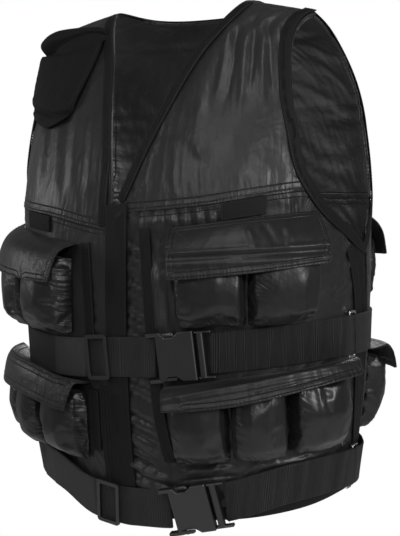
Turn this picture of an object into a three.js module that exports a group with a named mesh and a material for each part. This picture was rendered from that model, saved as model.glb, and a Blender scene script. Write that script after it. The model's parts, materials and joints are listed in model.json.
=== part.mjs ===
// Weighted vest: a satin nylon vest with weight pockets, webbing belts and side release buckles.
// Millimetres, +X to the wearer's left, -Y to the front, +Z up. Heights are measured from the hem at the
// centre front, "round" is the way along the cloth from the centre front (positive to the wearer's left),
// and "out" is how far a face stands off the cloth. The finished group is moved so that its origin lies
// between the shoulders, where the vest rests on its wearer.
import * as THREE from "three";

// Body of the vest
const BODY_LENGTH = 650; // hem to the neck points of the shoulders
const ARMHOLE_HEIGHT = 385; // hem to the bottom of the armholes
const HALF_WIDTH = 236;
const FRONT_DEPTH = 141; // shoulder line to the front cloth at the belt
const BACK_DEPTH = 216;
const NECK_HALF_WIDTH = 104;
const SHOULDER_HALF_WIDTH = 208;
const SHOULDER_DROP = 22; // neck point to shoulder tip
const NECKLINE_DIP = 10; // how far the back neckline lies below the neck points
const CHEST_LEAN = 1.36; // how soon the front leans in above the armholes, 2 is a quarter ellipse
const BACK_LEAN = 2.3;

// Cloth and tape
const CLOTH_WALL = 3;
const YOKE_WALL = 4;
const FLAP_WALL = 2.6;
const TAPE_WALL = 1.5;
const LAYER_GAP = 0.8; // between one layer and the next
const BUTT_GAP = 0.35; // half the gap between pieces sewn edge to edge
const BINDING_WIDTH = 15;
const PLACKET_WIDTH = 33;
const PLACKET_WALL = 2.6;
const STRIP_WIDTH = 16;
const SIDE_TAPE_WIDTH = 18;
const ZIP_WIDTH = 13;
const CLOTH_STEP = 20; // distance between two columns of the cloth

// Pockets
const CELL_DEPTH = 33;
const CELL_EDGE = 1.6; // thickness of a cell at its sewn edge
const CELL_GAP = 1.2; // between neighbouring cells
const CELL_LIFT = 0.2; // a cell's back stands this much further out than a tape
const UPPER_ROW_WIDTH = 172;
const LOWER_ROW_WIDTH = 226;
const FLAP_DEPTH = 42;
const FLAP_OVERHANG = 9; // past the cells at each end
const FLAP_TAPER = 11; // how much each end comes in towards the flap's lower edge

// Belts and hardware
const BELT_WIDTH = 50;
const BELT_WALL = 2;
const BUCKLE_HEIGHT = 61;
const BUCKLE_DEPTH = 12;
const BUCKLE_BODY_LENGTH = 49;
const BUCKLE_LATCH_LENGTH = 22;
const SLIDER_LENGTH = 36;
const SLIDER_HEIGHT = 57;
const SLIDER_BAR = 5;
const SLIDER_DEPTH = 3.5;
const RING_LENGTH = 17;
const RING_WIRE = 3.5;
const TAB_WALL = 1.6;

// Shoulder pad
const PAD_WALL = 6;
const PAD_ROLL_WALL = 15; // thickness of the pad's rolled top

// Level sections of the body: height as a share of ARMHOLE_HEIGHT, sizes as shares of the half width and
// of the two depths, and the squareness of the superellipse
const SECTIONS = [
  { height: -0.156, width: 0.847, front: 0.738, back: 0.833, square: 2.3 },
  { height: 0.0, width: 0.898, front: 0.823, back: 0.889, square: 2.3 },
  { height: 0.26, width: 0.966, front: 0.936, back: 0.954, square: 2.35 },
  { height: 0.545, width: 1.0, front: 0.993, back: 1.0, square: 2.4 },
  { height: 0.779, width: 1.0, front: 1.0, back: 1.0, square: 2.5 },
  { height: 1.0, width: 0.992, front: 0.993, back: 0.963, square: 2.75 },
];

// Lines across the cloth: round as a share of half the girth, height as a share of ARMHOLE_HEIGHT
const YOKE_SEAM_LEFT = [
  { round: 0.0, height: 0.993 },
  { round: 0.036, height: 0.997 },
  { round: 0.176, height: 1.016 },
  { round: 0.282, height: 1.044 },
  { round: 0.356, height: 1.062 },
  { round: 0.42, height: 1.066 },
  { round: 0.6, height: 1.04 },
  { round: 1.0, height: 1.04 },
];
const YOKE_SEAM_RIGHT = [
  { round: 0.0, height: 0.935 },
  { round: 0.02, height: 0.938 },
  { round: 0.083, height: 0.956 },
  { round: 0.159, height: 0.982 },
  { round: 0.308, height: 1.01 },
  { round: 0.42, height: 1.03 },
  { round: 0.6, height: 1.04 },
  { round: 1.0, height: 1.04 },
];
const HEM_LEFT = [
  { round: 0.0, height: 0.0 },
  { round: 0.11, height: 0.0 },
  { round: 0.23, height: 0.012 },
  { round: 0.34, height: 0.036 },
  { round: 0.5, height: 0.068 },
  { round: 1.0, height: 0.075 },
];
const HEM_RIGHT = [
  { round: 0.0, height: 0.0 },
  { round: 0.06, height: 0.018 },
  { round: 0.175, height: 0.06 },
  { round: 0.34, height: 0.075 },
  { round: 1.0, height: 0.075 },
];
const UPPER_BELT_LEFT = [
  { round: 0.0, height: 0.522 },
  { round: 0.1, height: 0.532 },
  { round: 0.207, height: 0.551 },
  { round: 0.352, height: 0.577 },
  { round: 0.49, height: 0.592 },
  { round: 1.0, height: 0.6 },
];
const UPPER_BELT_RIGHT = [
  { round: 0.0, height: 0.522 },
  { round: 0.127, height: 0.509 },
  { round: 0.35, height: 0.53 },
  { round: 0.5, height: 0.555 },
  { round: 1.0, height: 0.6 },
];
const LOWER_BELT_LEFT = [
  { round: 0.0, height: 0.024 },
  { round: 0.114, height: 0.039 },
  { round: 0.223, height: 0.077 },
  { round: 0.342, height: 0.13 },
  { round: 0.57, height: 0.148 },
  { round: 1.0, height: 0.16 },
];
const LOWER_BELT_RIGHT = [
  { round: 0.0, height: 0.024 },
  { round: 0.088, height: 0.05 },
  { round: 0.153, height: 0.105 },
  { round: 0.3, height: 0.14 },
  { round: 0.57, height: 0.15 },
  { round: 1.0, height: 0.16 },
];

// Front neckline, from the closure up to the neck point: rise is the share of the way from the armhole
// height to the neck point, across a share of NECK_HALF_WIDTH
const NECKLINE = [
  { rise: 0.0, across: 0.02 },
  { rise: 0.05, across: 0.055 },
  { rise: 0.17, across: 0.163 },
  { rise: 0.264, across: 0.235 },
  { rise: 0.366, across: 0.325 },
  { rise: 0.479, across: 0.43 },
  { rise: 0.608, across: 0.53 },
  { rise: 0.7, across: 0.612 },
  { rise: 0.8, across: 0.72 },
  { rise: 0.9, across: 0.875 },
  { rise: 1.0, across: 1.0 },
];
const NECKLINE_LAP = 9; // how much nearer the middle the right edge lies, half way up

// Back neckline: across as a share of NECK_HALF_WIDTH, dip as a share of NECKLINE_DIP
const BACK_NECKLINE = [
  { across: 1.0, dip: 0.0 },
  { across: 0.995, dip: 0.02 },
  { across: 0.98, dip: 0.1 },
  { across: 0.955, dip: 0.25 },
  { across: 0.89, dip: 0.45 },
  { across: 0.77, dip: 0.7 },
  { across: 0.57, dip: 0.88 },
  { across: 0.3, dip: 0.98 },
  { across: 0.0, dip: 1.0 },
];

// Left armhole, from the shoulder tip down the front, through the notch at the side and up the back:
// turn in degrees round the body (0 front, 90 side), rise as for the neckline
const ARMHOLE = [
  { turn: 58.3, rise: 1.0 },
  { turn: 52.0, rise: 0.9 },
  { turn: 49.2, rise: 0.83 },
  { turn: 50.1, rise: 0.751 },
  { turn: 54.2, rise: 0.592 },
  { turn: 57.1, rise: 0.487 },
  { turn: 62.2, rise: 0.351 },
  { turn: 65.9, rise: 0.219 },
  { turn: 71.3, rise: 0.13 },
  { turn: 80.0, rise: 0.02 },
  { turn: 90.0, rise: -0.07 },
  { turn: 97.5, rise: -0.165 },
  { turn: 104.0, rise: -0.075 },
  { turn: 110.0, rise: 0.04 },
  { turn: 117.8, rise: 0.14 },
  { turn: 124.7, rise: 0.366 },
  { turn: 125.8, rise: 0.494 },
  { turn: 128.9, rise: 0.634 },
  { turn: 133.0, rise: 0.77 },
  { turn: 133.6, rise: 0.86 },
  { turn: 130.0, rise: 0.93 },
  { turn: 121.7, rise: 1.0 },
];

// Rear edge of a front panel: height as a share of ARMHOLE_HEIGHT, round as a share of half the girth
const SIDE_EDGE = [
  { height: 0.0, round: 0.54 },
  { height: 0.7, round: 0.545 },
  { height: 0.865, round: 0.52 },
  { height: 1.0, round: 0.478 },
  { height: 1.1, round: 0.47 },
];
const BACK_PANEL_START = 0.588;

// The pocket rows. start is the near end of the cells as a share of half the girth, and shares divides the
// row between its cells. Each line of flap gives the heights of the sewn edge, fold and lower edge as
// shares of ARMHOLE_HEIGHT, and floor gives the height of the cells' lower edge.
const UPPER_SHARES = [0.5, 0.5];
const LOWER_SHARES = [0.32, 0.3, 0.38];
const POCKET_ROWS = [
  {
    name: "front_left_upper", side: 1, start: 0.139, width: UPPER_ROW_WIDTH, shares: UPPER_SHARES, depth: 1,
    flap: [
      { along: 0.0, sewn: 0.944, fold: 0.893, edge: 0.782, floor: 0.634 },
      { along: 0.5, sewn: 0.974, fold: 0.912, edge: 0.806, floor: 0.637 },
      { along: 1.0, sewn: 0.997, fold: 0.932, edge: 0.837, floor: 0.66 },
    ],
  },
  {
    name: "front_right_upper", side: -1, start: 0.102, width: UPPER_ROW_WIDTH, shares: UPPER_SHARES, depth: 1,
    flap: [
      { along: 0.0, sewn: 0.888, fold: 0.868, edge: 0.76, floor: 0.583 },
      { along: 0.5, sewn: 0.922, fold: 0.885, edge: 0.775, floor: 0.592 },
      { along: 1.0, sewn: 0.948, fold: 0.905, edge: 0.8, floor: 0.61 },
    ],
  },
  {
    name: "front_left_lower", side: 1, start: 0.124, width: LOWER_ROW_WIDTH, shares: LOWER_SHARES, depth: 1,
    flap: [
      { along: 0.0, sewn: 0.438, fold: 0.434, edge: 0.37, floor: 0.192 },
      { along: 0.33, sewn: 0.474, fold: 0.462, edge: 0.395, floor: 0.207 },
      { along: 0.66, sewn: 0.494, fold: 0.51, edge: 0.442, floor: 0.228 },
      { along: 1.0, sewn: 0.515, fold: 0.537, edge: 0.48, floor: 0.25 },
    ],
  },
  {
    name: "front_right_lower", side: -1, start: 0.07, width: LOWER_ROW_WIDTH, shares: LOWER_SHARES, depth: 1,
    flap: [
      { along: 0.0, sewn: 0.432, fold: 0.437, edge: 0.34, floor: 0.165 },
      { along: 0.33, sewn: 0.437, fold: 0.49, edge: 0.377, floor: 0.19 },
      { along: 0.66, sewn: 0.445, fold: 0.51, edge: 0.395, floor: 0.205 },
      { along: 1.0, sewn: 0.458, fold: 0.515, edge: 0.4, floor: 0.22 },
    ],
  },
  {
    name: "back_left_upper", side: 1, start: 0.72, width: UPPER_ROW_WIDTH, shares: UPPER_SHARES, depth: 0.9,
    flap: [
      { along: 0.0, sewn: 0.98, fold: 0.94, edge: 0.84, floor: 0.675 },
      { along: 1.0, sewn: 0.98, fold: 0.94, edge: 0.84, floor: 0.68 },
    ],
  },
  {
    name: "back_right_upper", side: -1, start: 0.72, width: UPPER_ROW_WIDTH, shares: UPPER_SHARES, depth: 0.9,
    flap: [
      { along: 0.0, sewn: 0.98, fold: 0.94, edge: 0.84, floor: 0.665 },
      { along: 1.0, sewn: 0.98, fold: 0.94, edge: 0.84, floor: 0.68 },
    ],
  },
  {
    name: "back_left_lower", side: 1, start: 0.65, width: LOWER_ROW_WIDTH, shares: LOWER_SHARES, depth: 1,
    flap: [
      { along: 0.0, sewn: 0.522, fold: 0.54, edge: 0.45, floor: 0.24 },
      { along: 1.0, sewn: 0.53, fold: 0.54, edge: 0.45, floor: 0.24 },
    ],
  },
  {
    name: "back_right_lower", side: -1, start: 0.65, width: LOWER_ROW_WIDTH, shares: LOWER_SHARES, depth: 1,
    flap: [
      { along: 0.0, sewn: 0.5, fold: 0.52, edge: 0.44, floor: 0.24 },
      { along: 1.0, sewn: 0.53, fold: 0.54, edge: 0.45, floor: 0.24 },
    ],
  },
];

// Places of the hardware along the belts, as shares of half the girth
const UPPER_BUCKLE_AT = 0.105; // end of the buckle nearest the closure
const LOWER_BUCKLE_AT = 0.114;
const SLIDER_AT = -0.057;
const TAB_END_UPPER = -0.146;
const TAB_END_LOWER = -0.19;
const RING_AT = 0.503;

// Small tools

function lerp(a, b, share) {
  return a + (b - a) * share;
}

function smoothstep(low, high, value) {
  const t = Math.min(1, Math.max(0, (value - low) / (high - low)));
  return t * t * (3 - 2 * t);
}

/** Smooth curve through the rows of a table: every other column against the key column. */
function along(rows, key, value) {
  const last = rows.length - 1;
  const at = Math.min(Math.max(value, rows[0][key]), rows[last][key]);
  let i = 0;
  while (i < last - 1 && rows[i + 1][key] <= at) i += 1;
  const before = rows[Math.max(i - 1, 0)];
  const low = rows[i];
  const high = rows[i + 1];
  const after = rows[Math.min(i + 2, last)];
  const gap = high[key] - low[key];
  const t = (at - low[key]) / gap;
  const result = {};
  for (const column of Object.keys(low)) {
    const slopeLow = ((high[column] - before[column]) / (high[key] - before[key])) * gap;
    const slopeHigh = ((after[column] - low[column]) / (after[key] - low[key])) * gap;
    result[column] =
      (2 * t ** 3 - 3 * t ** 2 + 1) * low[column] +
      (t ** 3 - 2 * t ** 2 + t) * slopeLow +
      (3 * t ** 2 - 2 * t ** 3) * high[column] +
      (t ** 3 - t ** 2) * slopeHigh;
  }
  return result;
}

function steps(from, to, count) {
  return Array.from({ length: count + 1 }, (_, i) => lerp(from, to, i / count));
}

/** Values from one end to the other, no further apart than the step, that fall on its multiples. */
function stations(from, to, step = CLOTH_STEP) {
  const values = [from];
  const margin = 0.3 * step;
  for (let k = Math.ceil((from + margin) / step); k * step < to - margin; k += 1) values.push(k * step);
  values.push(to);
  return values;
}

// Form of the body

function ridgeHeight(x) {
  const over = Math.max(0, Math.abs(x) - NECK_HALF_WIDTH) / (SHOULDER_HALF_WIDTH - NECK_HALF_WIDTH);
  return BODY_LENGTH - SHOULDER_DROP * over ** 1.2;
}

function levelPoint(turn, height) {
  const section = along(SECTIONS, "height", height / ARMHOLE_HEIGHT);
  const front = section.front * FRONT_DEPTH;
  const back = section.back * BACK_DEPTH;
  const power = 2 / section.square;
  const sine = Math.sin(turn);
  const cosine = Math.cos(turn);
  return {
    x: HALF_WIDTH * section.width * Math.sign(sine) * Math.abs(sine) ** power,
    y: (back - front) / 2 - ((back + front) / 2) * Math.sign(cosine) * Math.abs(cosine) ** power,
  };
}

/**
 * Point of the cloth's outer face. climb is below zero under the armholes (as a share of the way from the
 * armholes to the neck points) and is the angle of the leaning upper part above them, up to a right angle
 * at the shoulder line.
 */
function bodyPoint(turn, climb) {
  const reach = BODY_LENGTH - ARMHOLE_HEIGHT;
  const height = ARMHOLE_HEIGHT + Math.min(climb, 0) * reach;
  const level = levelPoint(turn, height);
  if (climb <= 0) return new THREE.Vector3(level.x, level.y, height);
  const power = Math.cos(turn) >= 0 ? CHEST_LEAN : BACK_LEAN;
  const sine = Math.sin(climb);
  const cosine = Math.max(0, Math.cos(climb));
  const scale = (sine ** power + cosine ** power) ** (-1 / power);
  const top = ridgeHeight(level.x);
  return new THREE.Vector3(level.x, level.y * cosine * scale, lerp(ARMHOLE_HEIGHT, top, sine * scale));
}

/** The climb at which the cloth is this high. */
function climbAt(turn, height) {
  const reach = BODY_LENGTH - ARMHOLE_HEIGHT;
  if (height <= ARMHOLE_HEIGHT) return (height - ARMHOLE_HEIGHT) / reach;
  const power = Math.cos(turn) >= 0 ? CHEST_LEAN : BACK_LEAN;
  const level = levelPoint(turn, ARMHOLE_HEIGHT);
  const share = Math.min(1, (height - ARMHOLE_HEIGHT) / (ridgeHeight(level.x) - ARMHOLE_HEIGHT));
  return Math.atan2(share, (1 - share ** power) ** (1 / power));
}

/** Direction out of the cloth: level below the armholes, square to the leaning cloth above them. */
function outward(turn, climb) {
  const small = 1e-3;
  const high = Math.min(climb + small, Math.PI / 2);
  const across = bodyPoint(turn + small, climb).sub(bodyPoint(turn - small, climb));
  const up = bodyPoint(turn, high).sub(bodyPoint(turn, high - 2 * small));
  const normal = across.cross(up).normalize();
  normal.z *= smoothstep(0.08, 0.4, climb);
  if (climb > Math.PI / 2 - small) normal.y = 0;
  return normal.normalize();
}

function standOff(turn, climb, out) {
  return bodyPoint(turn, climb).addScaledVector(outward(turn, climb), out);
}

const arcCache = new Map();

/** Lengths round one level of the body, from the centre front to the centre back. */
function arcTable(height) {
  const key = Math.round(Math.min(height, ARMHOLE_HEIGHT) * 4);
  if (!arcCache.has(key)) {
    const turns = steps(0, Math.PI, 240);
    const lengths = [0];
    let before = levelPoint(0, key / 4);
    for (const turn of turns.slice(1)) {
      const point = levelPoint(turn, key / 4);
      lengths.push(lengths.at(-1) + Math.hypot(point.x - before.x, point.y - before.y));
      before = point;
    }
    arcCache.set(key, { turns, lengths });
  }
  return arcCache.get(key);
}

function interpolate(xs, ys, x) {
  let low = 0;
  let high = xs.length - 1;
  while (high - low > 1) {
    const middle = (low + high) >> 1;
    if (xs[middle] <= x) low = middle;
    else high = middle;
  }
  return lerp(ys[low], ys[high], (x - xs[low]) / (xs[high] - xs[low]));
}

const BELT_LEVEL = 0.53 * ARMHOLE_HEIGHT;
const HALF_GIRTH = arcTable(BELT_LEVEL).lengths.at(-1);

// Up to here the way round is the true length at every height. Behind it the back takes up the difference
// between the girth at that height and the girth at the belt.
const TRUE_ROUND = 0.55 * HALF_GIRTH;

/** Turn round the body after walking this far from the centre front, as a share of half the girth. */
function turnAt(share, height) {
  const { turns, lengths } = arcTable(height);
  const wrapped = share > 1 ? share - 2 : share;
  const round = Math.abs(wrapped) * HALF_GIRTH;
  const scale = (lengths.at(-1) - TRUE_ROUND) / (HALF_GIRTH - TRUE_ROUND);
  const length = round < TRUE_ROUND ? round : TRUE_ROUND + (round - TRUE_ROUND) * scale;
  return Math.sign(wrapped) * interpolate(lengths, turns, Math.min(length, lengths.at(-1)));
}

/** The way round that ends at this turn. */
function roundOf(turn, height) {
  const { turns, lengths } = arcTable(height);
  const length = interpolate(turns, lengths, turn);
  const scale = (lengths.at(-1) - TRUE_ROUND) / (HALF_GIRTH - TRUE_ROUND);
  return length < TRUE_ROUND ? length : TRUE_ROUND + (length - TRUE_ROUND) / scale;
}

/** Point reached by walking round the cloth, at this height and standing this far out. */
function walk(round, height, out) {
  const turn = turnAt(round / HALF_GIRTH, height);
  return standOff(turn, climbAt(turn, height), out);
}

/** Height of a line across the cloth. Round runs from the centre front both ways. */
function lineHeight(left, right, round) {
  const share = round / HALF_GIRTH;
  const wrapped = share > 1 ? share - 2 : share;
  return along(wrapped >= 0 ? left : right, "round", Math.abs(wrapped)).height * ARMHOLE_HEIGHT;
}

const yokeSeam = (round) => lineHeight(YOKE_SEAM_LEFT, YOKE_SEAM_RIGHT, round);
const hem = (round) => lineHeight(HEM_LEFT, HEM_RIGHT, round);
const upperBelt = (round) => lineHeight(UPPER_BELT_LEFT, UPPER_BELT_RIGHT, round);
const lowerBelt = (round) => lineHeight(LOWER_BELT_LEFT, LOWER_BELT_RIGHT, round);

// Building solids

/** Closed solid between two grids of points: face(column, row, layer), layer 0 inside and 1 outside. */
function slab(columns, rows, face) {
  const positions = [];
  const triangles = [];
  const width = columns.length;
  const height = rows.length;
  for (const layer of [0, 1]) {
    for (const row of rows) for (const column of columns) positions.push(...face(column, row, layer));
  }
  const at = (i, j, layer) => layer * width * height + j * width + i;
  const quad = (a, b, c, d) => triangles.push(a, b, c, a, c, d);
  for (let j = 0; j < height - 1; j += 1) {
    for (let i = 0; i < width - 1; i += 1) {
      quad(at(i, j, 1), at(i + 1, j, 1), at(i + 1, j + 1, 1), at(i, j + 1, 1));
      quad(at(i, j, 0), at(i, j + 1, 0), at(i + 1, j + 1, 0), at(i + 1, j, 0));
    }
  }
  for (let i = 0; i < width - 1; i += 1) {
    quad(at(i, 0, 0), at(i + 1, 0, 0), at(i + 1, 0, 1), at(i, 0, 1));
    quad(at(i, height - 1, 0), at(i, height - 1, 1), at(i + 1, height - 1, 1), at(i + 1, height - 1, 0));
  }
  for (let j = 0; j < height - 1; j += 1) {
    quad(at(0, j, 0), at(0, j, 1), at(0, j + 1, 1), at(0, j + 1, 0));
    quad(at(width - 1, j, 0), at(width - 1, j + 1, 0), at(width - 1, j + 1, 1), at(width - 1, j, 1));
  }
  return closed(positions, triangles);
}

/** Geometry from points and triangles, turned to face out. */
function closed(positions, triangles) {
  const point = (i) => new THREE.Vector3(...positions.slice(3 * i, 3 * i + 3));
  let volume = 0;
  for (let k = 0; k < triangles.length; k += 3) {
    const [a, b, c] = triangles.slice(k, k + 3).map(point);
    volume += a.dot(b.cross(c));
  }
  if (volume < 0) triangles.reverse();
  const geometry = new THREE.BufferGeometry();
  geometry.setAttribute("position", new THREE.Float32BufferAttribute(positions, 3));
  geometry.setIndex(triangles);
  geometry.computeVertexNormals();
  return geometry;
}

const MATERIALS = {
  satin: new THREE.MeshStandardMaterial({ color: 0x2e2e30, roughness: 0.42, metalness: 0 }),
  padding: new THREE.MeshStandardMaterial({ color: 0x323234, roughness: 0.4, metalness: 0 }),
  webbing: new THREE.MeshStandardMaterial({ color: 0x1f1f20, roughness: 0.85, metalness: 0 }),
  binding: new THREE.MeshStandardMaterial({ color: 0x1a1a1b, roughness: 0.9, metalness: 0 }),
  mattePad: new THREE.MeshStandardMaterial({ color: 0x222223, roughness: 0.8, metalness: 0 }),
  plastic: new THREE.MeshStandardMaterial({ color: 0x2a2a2c, roughness: 0.4, metalness: 0 }),
  metal: new THREE.MeshStandardMaterial({ color: 0xc8c8cc, roughness: 0.25, metalness: 1 }),
};

const vest = new THREE.Group();

function add(name, geometry, material) {
  const mesh = new THREE.Mesh(geometry, material);
  mesh.name = name;
  vest.add(mesh);
  return mesh;
}

/** Cloth or tape laid on the body between two lines, standing out between two distances. */
function laid(rounds, rows, heightAt, low, high) {
  return slab(rounds, rows, (round, row, layer) =>
    walk(round, heightAt(round, row), layer ? high(round, row) : low(round, row)).toArray(),
  );
}

// Edges of the openings, as turn and climb

function turnOf(x) {
  const section = along(SECTIONS, "height", 1);
  const share = Math.min(1, Math.abs(x) / (HALF_WIDTH * section.width));
  return Math.sign(x) * Math.asin(share ** (section.square / 2));
}

function riseHeight(rise) {
  return lerp(ARMHOLE_HEIGHT, BODY_LENGTH, rise);
}

/** How far from the middle the front neckline runs at this rise. */
function neckAcross(side, rise) {
  const share = Math.min(1, Math.max(0, rise));
  const across = along(NECKLINE, "rise", share).across * NECK_HALF_WIDTH;
  return side > 0 ? across : across - NECKLINE_LAP * 4 * share * (1 - share);
}

/** Front neckline of one side at this climb. */
function neckEdge(side, climb) {
  const height = bodyPoint(0, climb).z;
  const across = neckAcross(side, (height - ARMHOLE_HEIGHT) / (BODY_LENGTH - ARMHOLE_HEIGHT));
  return { turn: side * turnOf(across), climb };
}

/** Back neckline from the left neck point (0) to the right one (1). */
function backNeckEdge(share) {
  const fold = Math.abs(2 * share - 1);
  const last = BACK_NECKLINE.length - 1;
  const rows = BACK_NECKLINE.map((row, i) => ({ ...row, place: 1 - i / last })).reverse();
  const row = along(rows, "place", fold);
  const x = Math.sign(0.5 - share) * row.across * NECK_HALF_WIDTH;
  const turn = Math.sign(x || 1) * Math.PI - turnOf(x);
  if (fold > 0.999) return { turn, climb: Math.PI / 2 };
  return { turn, climb: climbAt(turn, BODY_LENGTH - row.dip * NECKLINE_DIP) };
}

const armholeRows = ARMHOLE.map((row, i) => {
  const turn = THREE.MathUtils.degToRad(row.turn);
  const climb = row.rise >= 1 ? Math.PI / 2 : climbAt(turn, riseHeight(row.rise));
  return { place: i / (ARMHOLE.length - 1), turn, climb };
});

/** Armhole edge of one side, from the shoulder tip down the front (0) and up the back (1). */
function armholeEdge(side, place) {
  const row = along(armholeRows, "place", place);
  return { turn: side * row.turn, climb: Math.min(row.climb, Math.PI / 2) };
}

function edgePoint(edge) {
  return bodyPoint(edge.turn, edge.climb);
}

/** The armhole's edge as a line under the yoke seams: height against round, for the panels. */
const armholeLine = steps(0, 1, 300).map((place) => {
  const edge = armholeEdge(1, place);
  const point = edgePoint(edge);
  return { place, height: point.z, round: roundOf(edge.turn, point.z) };
});
const lowestPlace = armholeLine.reduce((low, row) => (row.height < low.height ? row : low)).place;

/** Height of the armhole's edge over this place, or far above where the armhole doesn't reach. */
function armholeHeight(round) {
  const share = Math.abs(round) > HALF_GIRTH ? 2 * HALF_GIRTH - Math.abs(round) : Math.abs(round);
  let lowest = BODY_LENGTH;
  for (let i = 0; i < armholeLine.length - 1; i += 1) {
    const a = armholeLine[i];
    const b = armholeLine[i + 1];
    const inside = (share - a.round) * (share - b.round) <= 0 && a.round !== b.round;
    if (inside) lowest = Math.min(lowest, lerp(a.height, b.height, (share - a.round) / (b.round - a.round)));
  }
  return lowest;
}

/** Where a yoke seam meets the armhole, on the front or on the back. */
function seamPlace(side, isFront) {
  const rows = armholeLine.filter((row) => (isFront ? row.place <= lowestPlace : row.place >= lowestPlace));
  if (isFront) rows.reverse();
  return rows.find((row) => row.height > yokeSeam(side * row.round)).place;
}

/** An edge point moved along the cloth, square to the edge, by this much. */
function moved(edgeAt, place, distance, towards) {
  const small = 2e-3;
  const edge = edgeAt(place);
  const before = edgeAt(Math.max(0, place - small));
  const after = edgeAt(Math.min(1, place + small));
  const acrossTurn = bodyPoint(edge.turn + small, edge.climb).sub(bodyPoint(edge.turn - small, edge.climb));
  acrossTurn.divideScalar(2 * small);
  const high = Math.min(edge.climb + small, Math.PI / 2);
  const acrossClimb = bodyPoint(edge.turn, high).sub(bodyPoint(edge.turn, high - 2 * small));
  acrossClimb.divideScalar(2 * small);
  const tangent = edgePoint(after).sub(edgePoint(before));
  const normal = acrossTurn.clone().cross(acrossClimb).normalize();
  const sideways = tangent.cross(normal).normalize().multiplyScalar(distance * towards);
  const [a, b, d] = [acrossTurn.dot(acrossTurn), acrossTurn.dot(acrossClimb), acrossClimb.dot(acrossClimb)];
  const [p, q] = [acrossTurn.dot(sideways), acrossClimb.dot(sideways)];
  const scale = a * d - b * b;
  return {
    turn: edge.turn + (d * p - b * q) / scale,
    climb: Math.min(edge.climb + (a * q - b * p) / scale, Math.PI / 2),
  };
}

// Yokes

/** Patch between four edges, blended in turn and climb: left and right by row, bottom and top by column. */
function patch(edges, u, v) {
  const mix = (key) =>
    lerp(edges.left(v)[key], edges.right(v)[key], u) +
    (1 - v) * (edges.bottom(u)[key] - lerp(edges.left(0)[key], edges.right(0)[key], u)) +
    v * (edges.top(u)[key] - lerp(edges.left(1)[key], edges.right(1)[key], u));
  return { turn: mix("turn"), climb: mix("climb") };
}

function yokeGeometry(placeAt, columns, rows, isFront, foldAt) {
  return slab(columns, rows, (u, v, layer) => {
    const place = placeAt(u, v);
    const climb = place.climb;
    const out = foldAt(u, v) - (layer ? 0 : YOKE_WALL);
    const point = standOff(place.turn, climb, out);
    if (climb > Math.PI / 2 - 1e-6) point.y = isFront ? -BUTT_GAP : BUTT_GAP;
    return point.toArray();
  });
}

// Soft folds of a front yoke: gathers that hang from the shoulder, and long shallow waves below them
const GATHER_COUNT = 4;
const GATHER_DEPTH = 2.2;
const WAVE_COUNT = 3;
const WAVE_DEPTH = 1.3;

function yokeFold(u, v) {
  const edge = Math.sin(Math.PI * u) ** 0.5 * Math.sin(Math.PI * Math.min(1, 1.02 * v)) ** 0.5;
  const gathers = GATHER_DEPTH * smoothstep(0.35, 0.85, v) * Math.cos(2 * Math.PI * GATHER_COUNT * u);
  const wave = Math.cos(2 * Math.PI * (WAVE_COUNT * u + 0.3 * v));
  const waves = WAVE_DEPTH * (1 - smoothstep(0.4, 0.8, v)) * wave;
  return (edge || 0) * (gathers + waves);
}

function frontYoke(side) {
  const seam = seamPlace(side, true);
  const inner = neckAcross(side, 0);
  const outer = armholeLine.find((row) => row.place === seam).round;
  const low = climbAt(0, yokeSeam(side * inner) + BUTT_GAP);
  const bottom = (u) => {
    const round = side * lerp(inner, outer, u);
    const turn = turnAt(round / HALF_GIRTH, ARMHOLE_HEIGHT);
    return { turn, climb: climbAt(turn, yokeSeam(round) + BUTT_GAP) };
  };
  const left = (v) => (v === 0 ? bottom(0) : neckEdge(side, lerp(low, Math.PI / 2, v)));
  const right = (v) => (v === 0 ? bottom(1) : armholeEdge(side, seam * (1 - v)));
  const top = (u) => ({ turn: lerp(left(1).turn, right(1).turn, u), climb: Math.PI / 2 });
  const placeAt = (u, v) => patch({ left, right, bottom, top }, u, v);
  return yokeGeometry(placeAt, steps(0, 1, 16), steps(0, 1, 9), true, yokeFold);
}

// Columns of the back yoke that lie under the neckline, and those under each shoulder
const NECK_COLUMNS = 14;
const SHOULDER_COLUMNS = 3;
// Climb up to which the back yoke's rows run level, below the neckline's dip
const LEVEL_CLIMB = 0.95;
const LEVEL_SHARE = 0.55;

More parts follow.
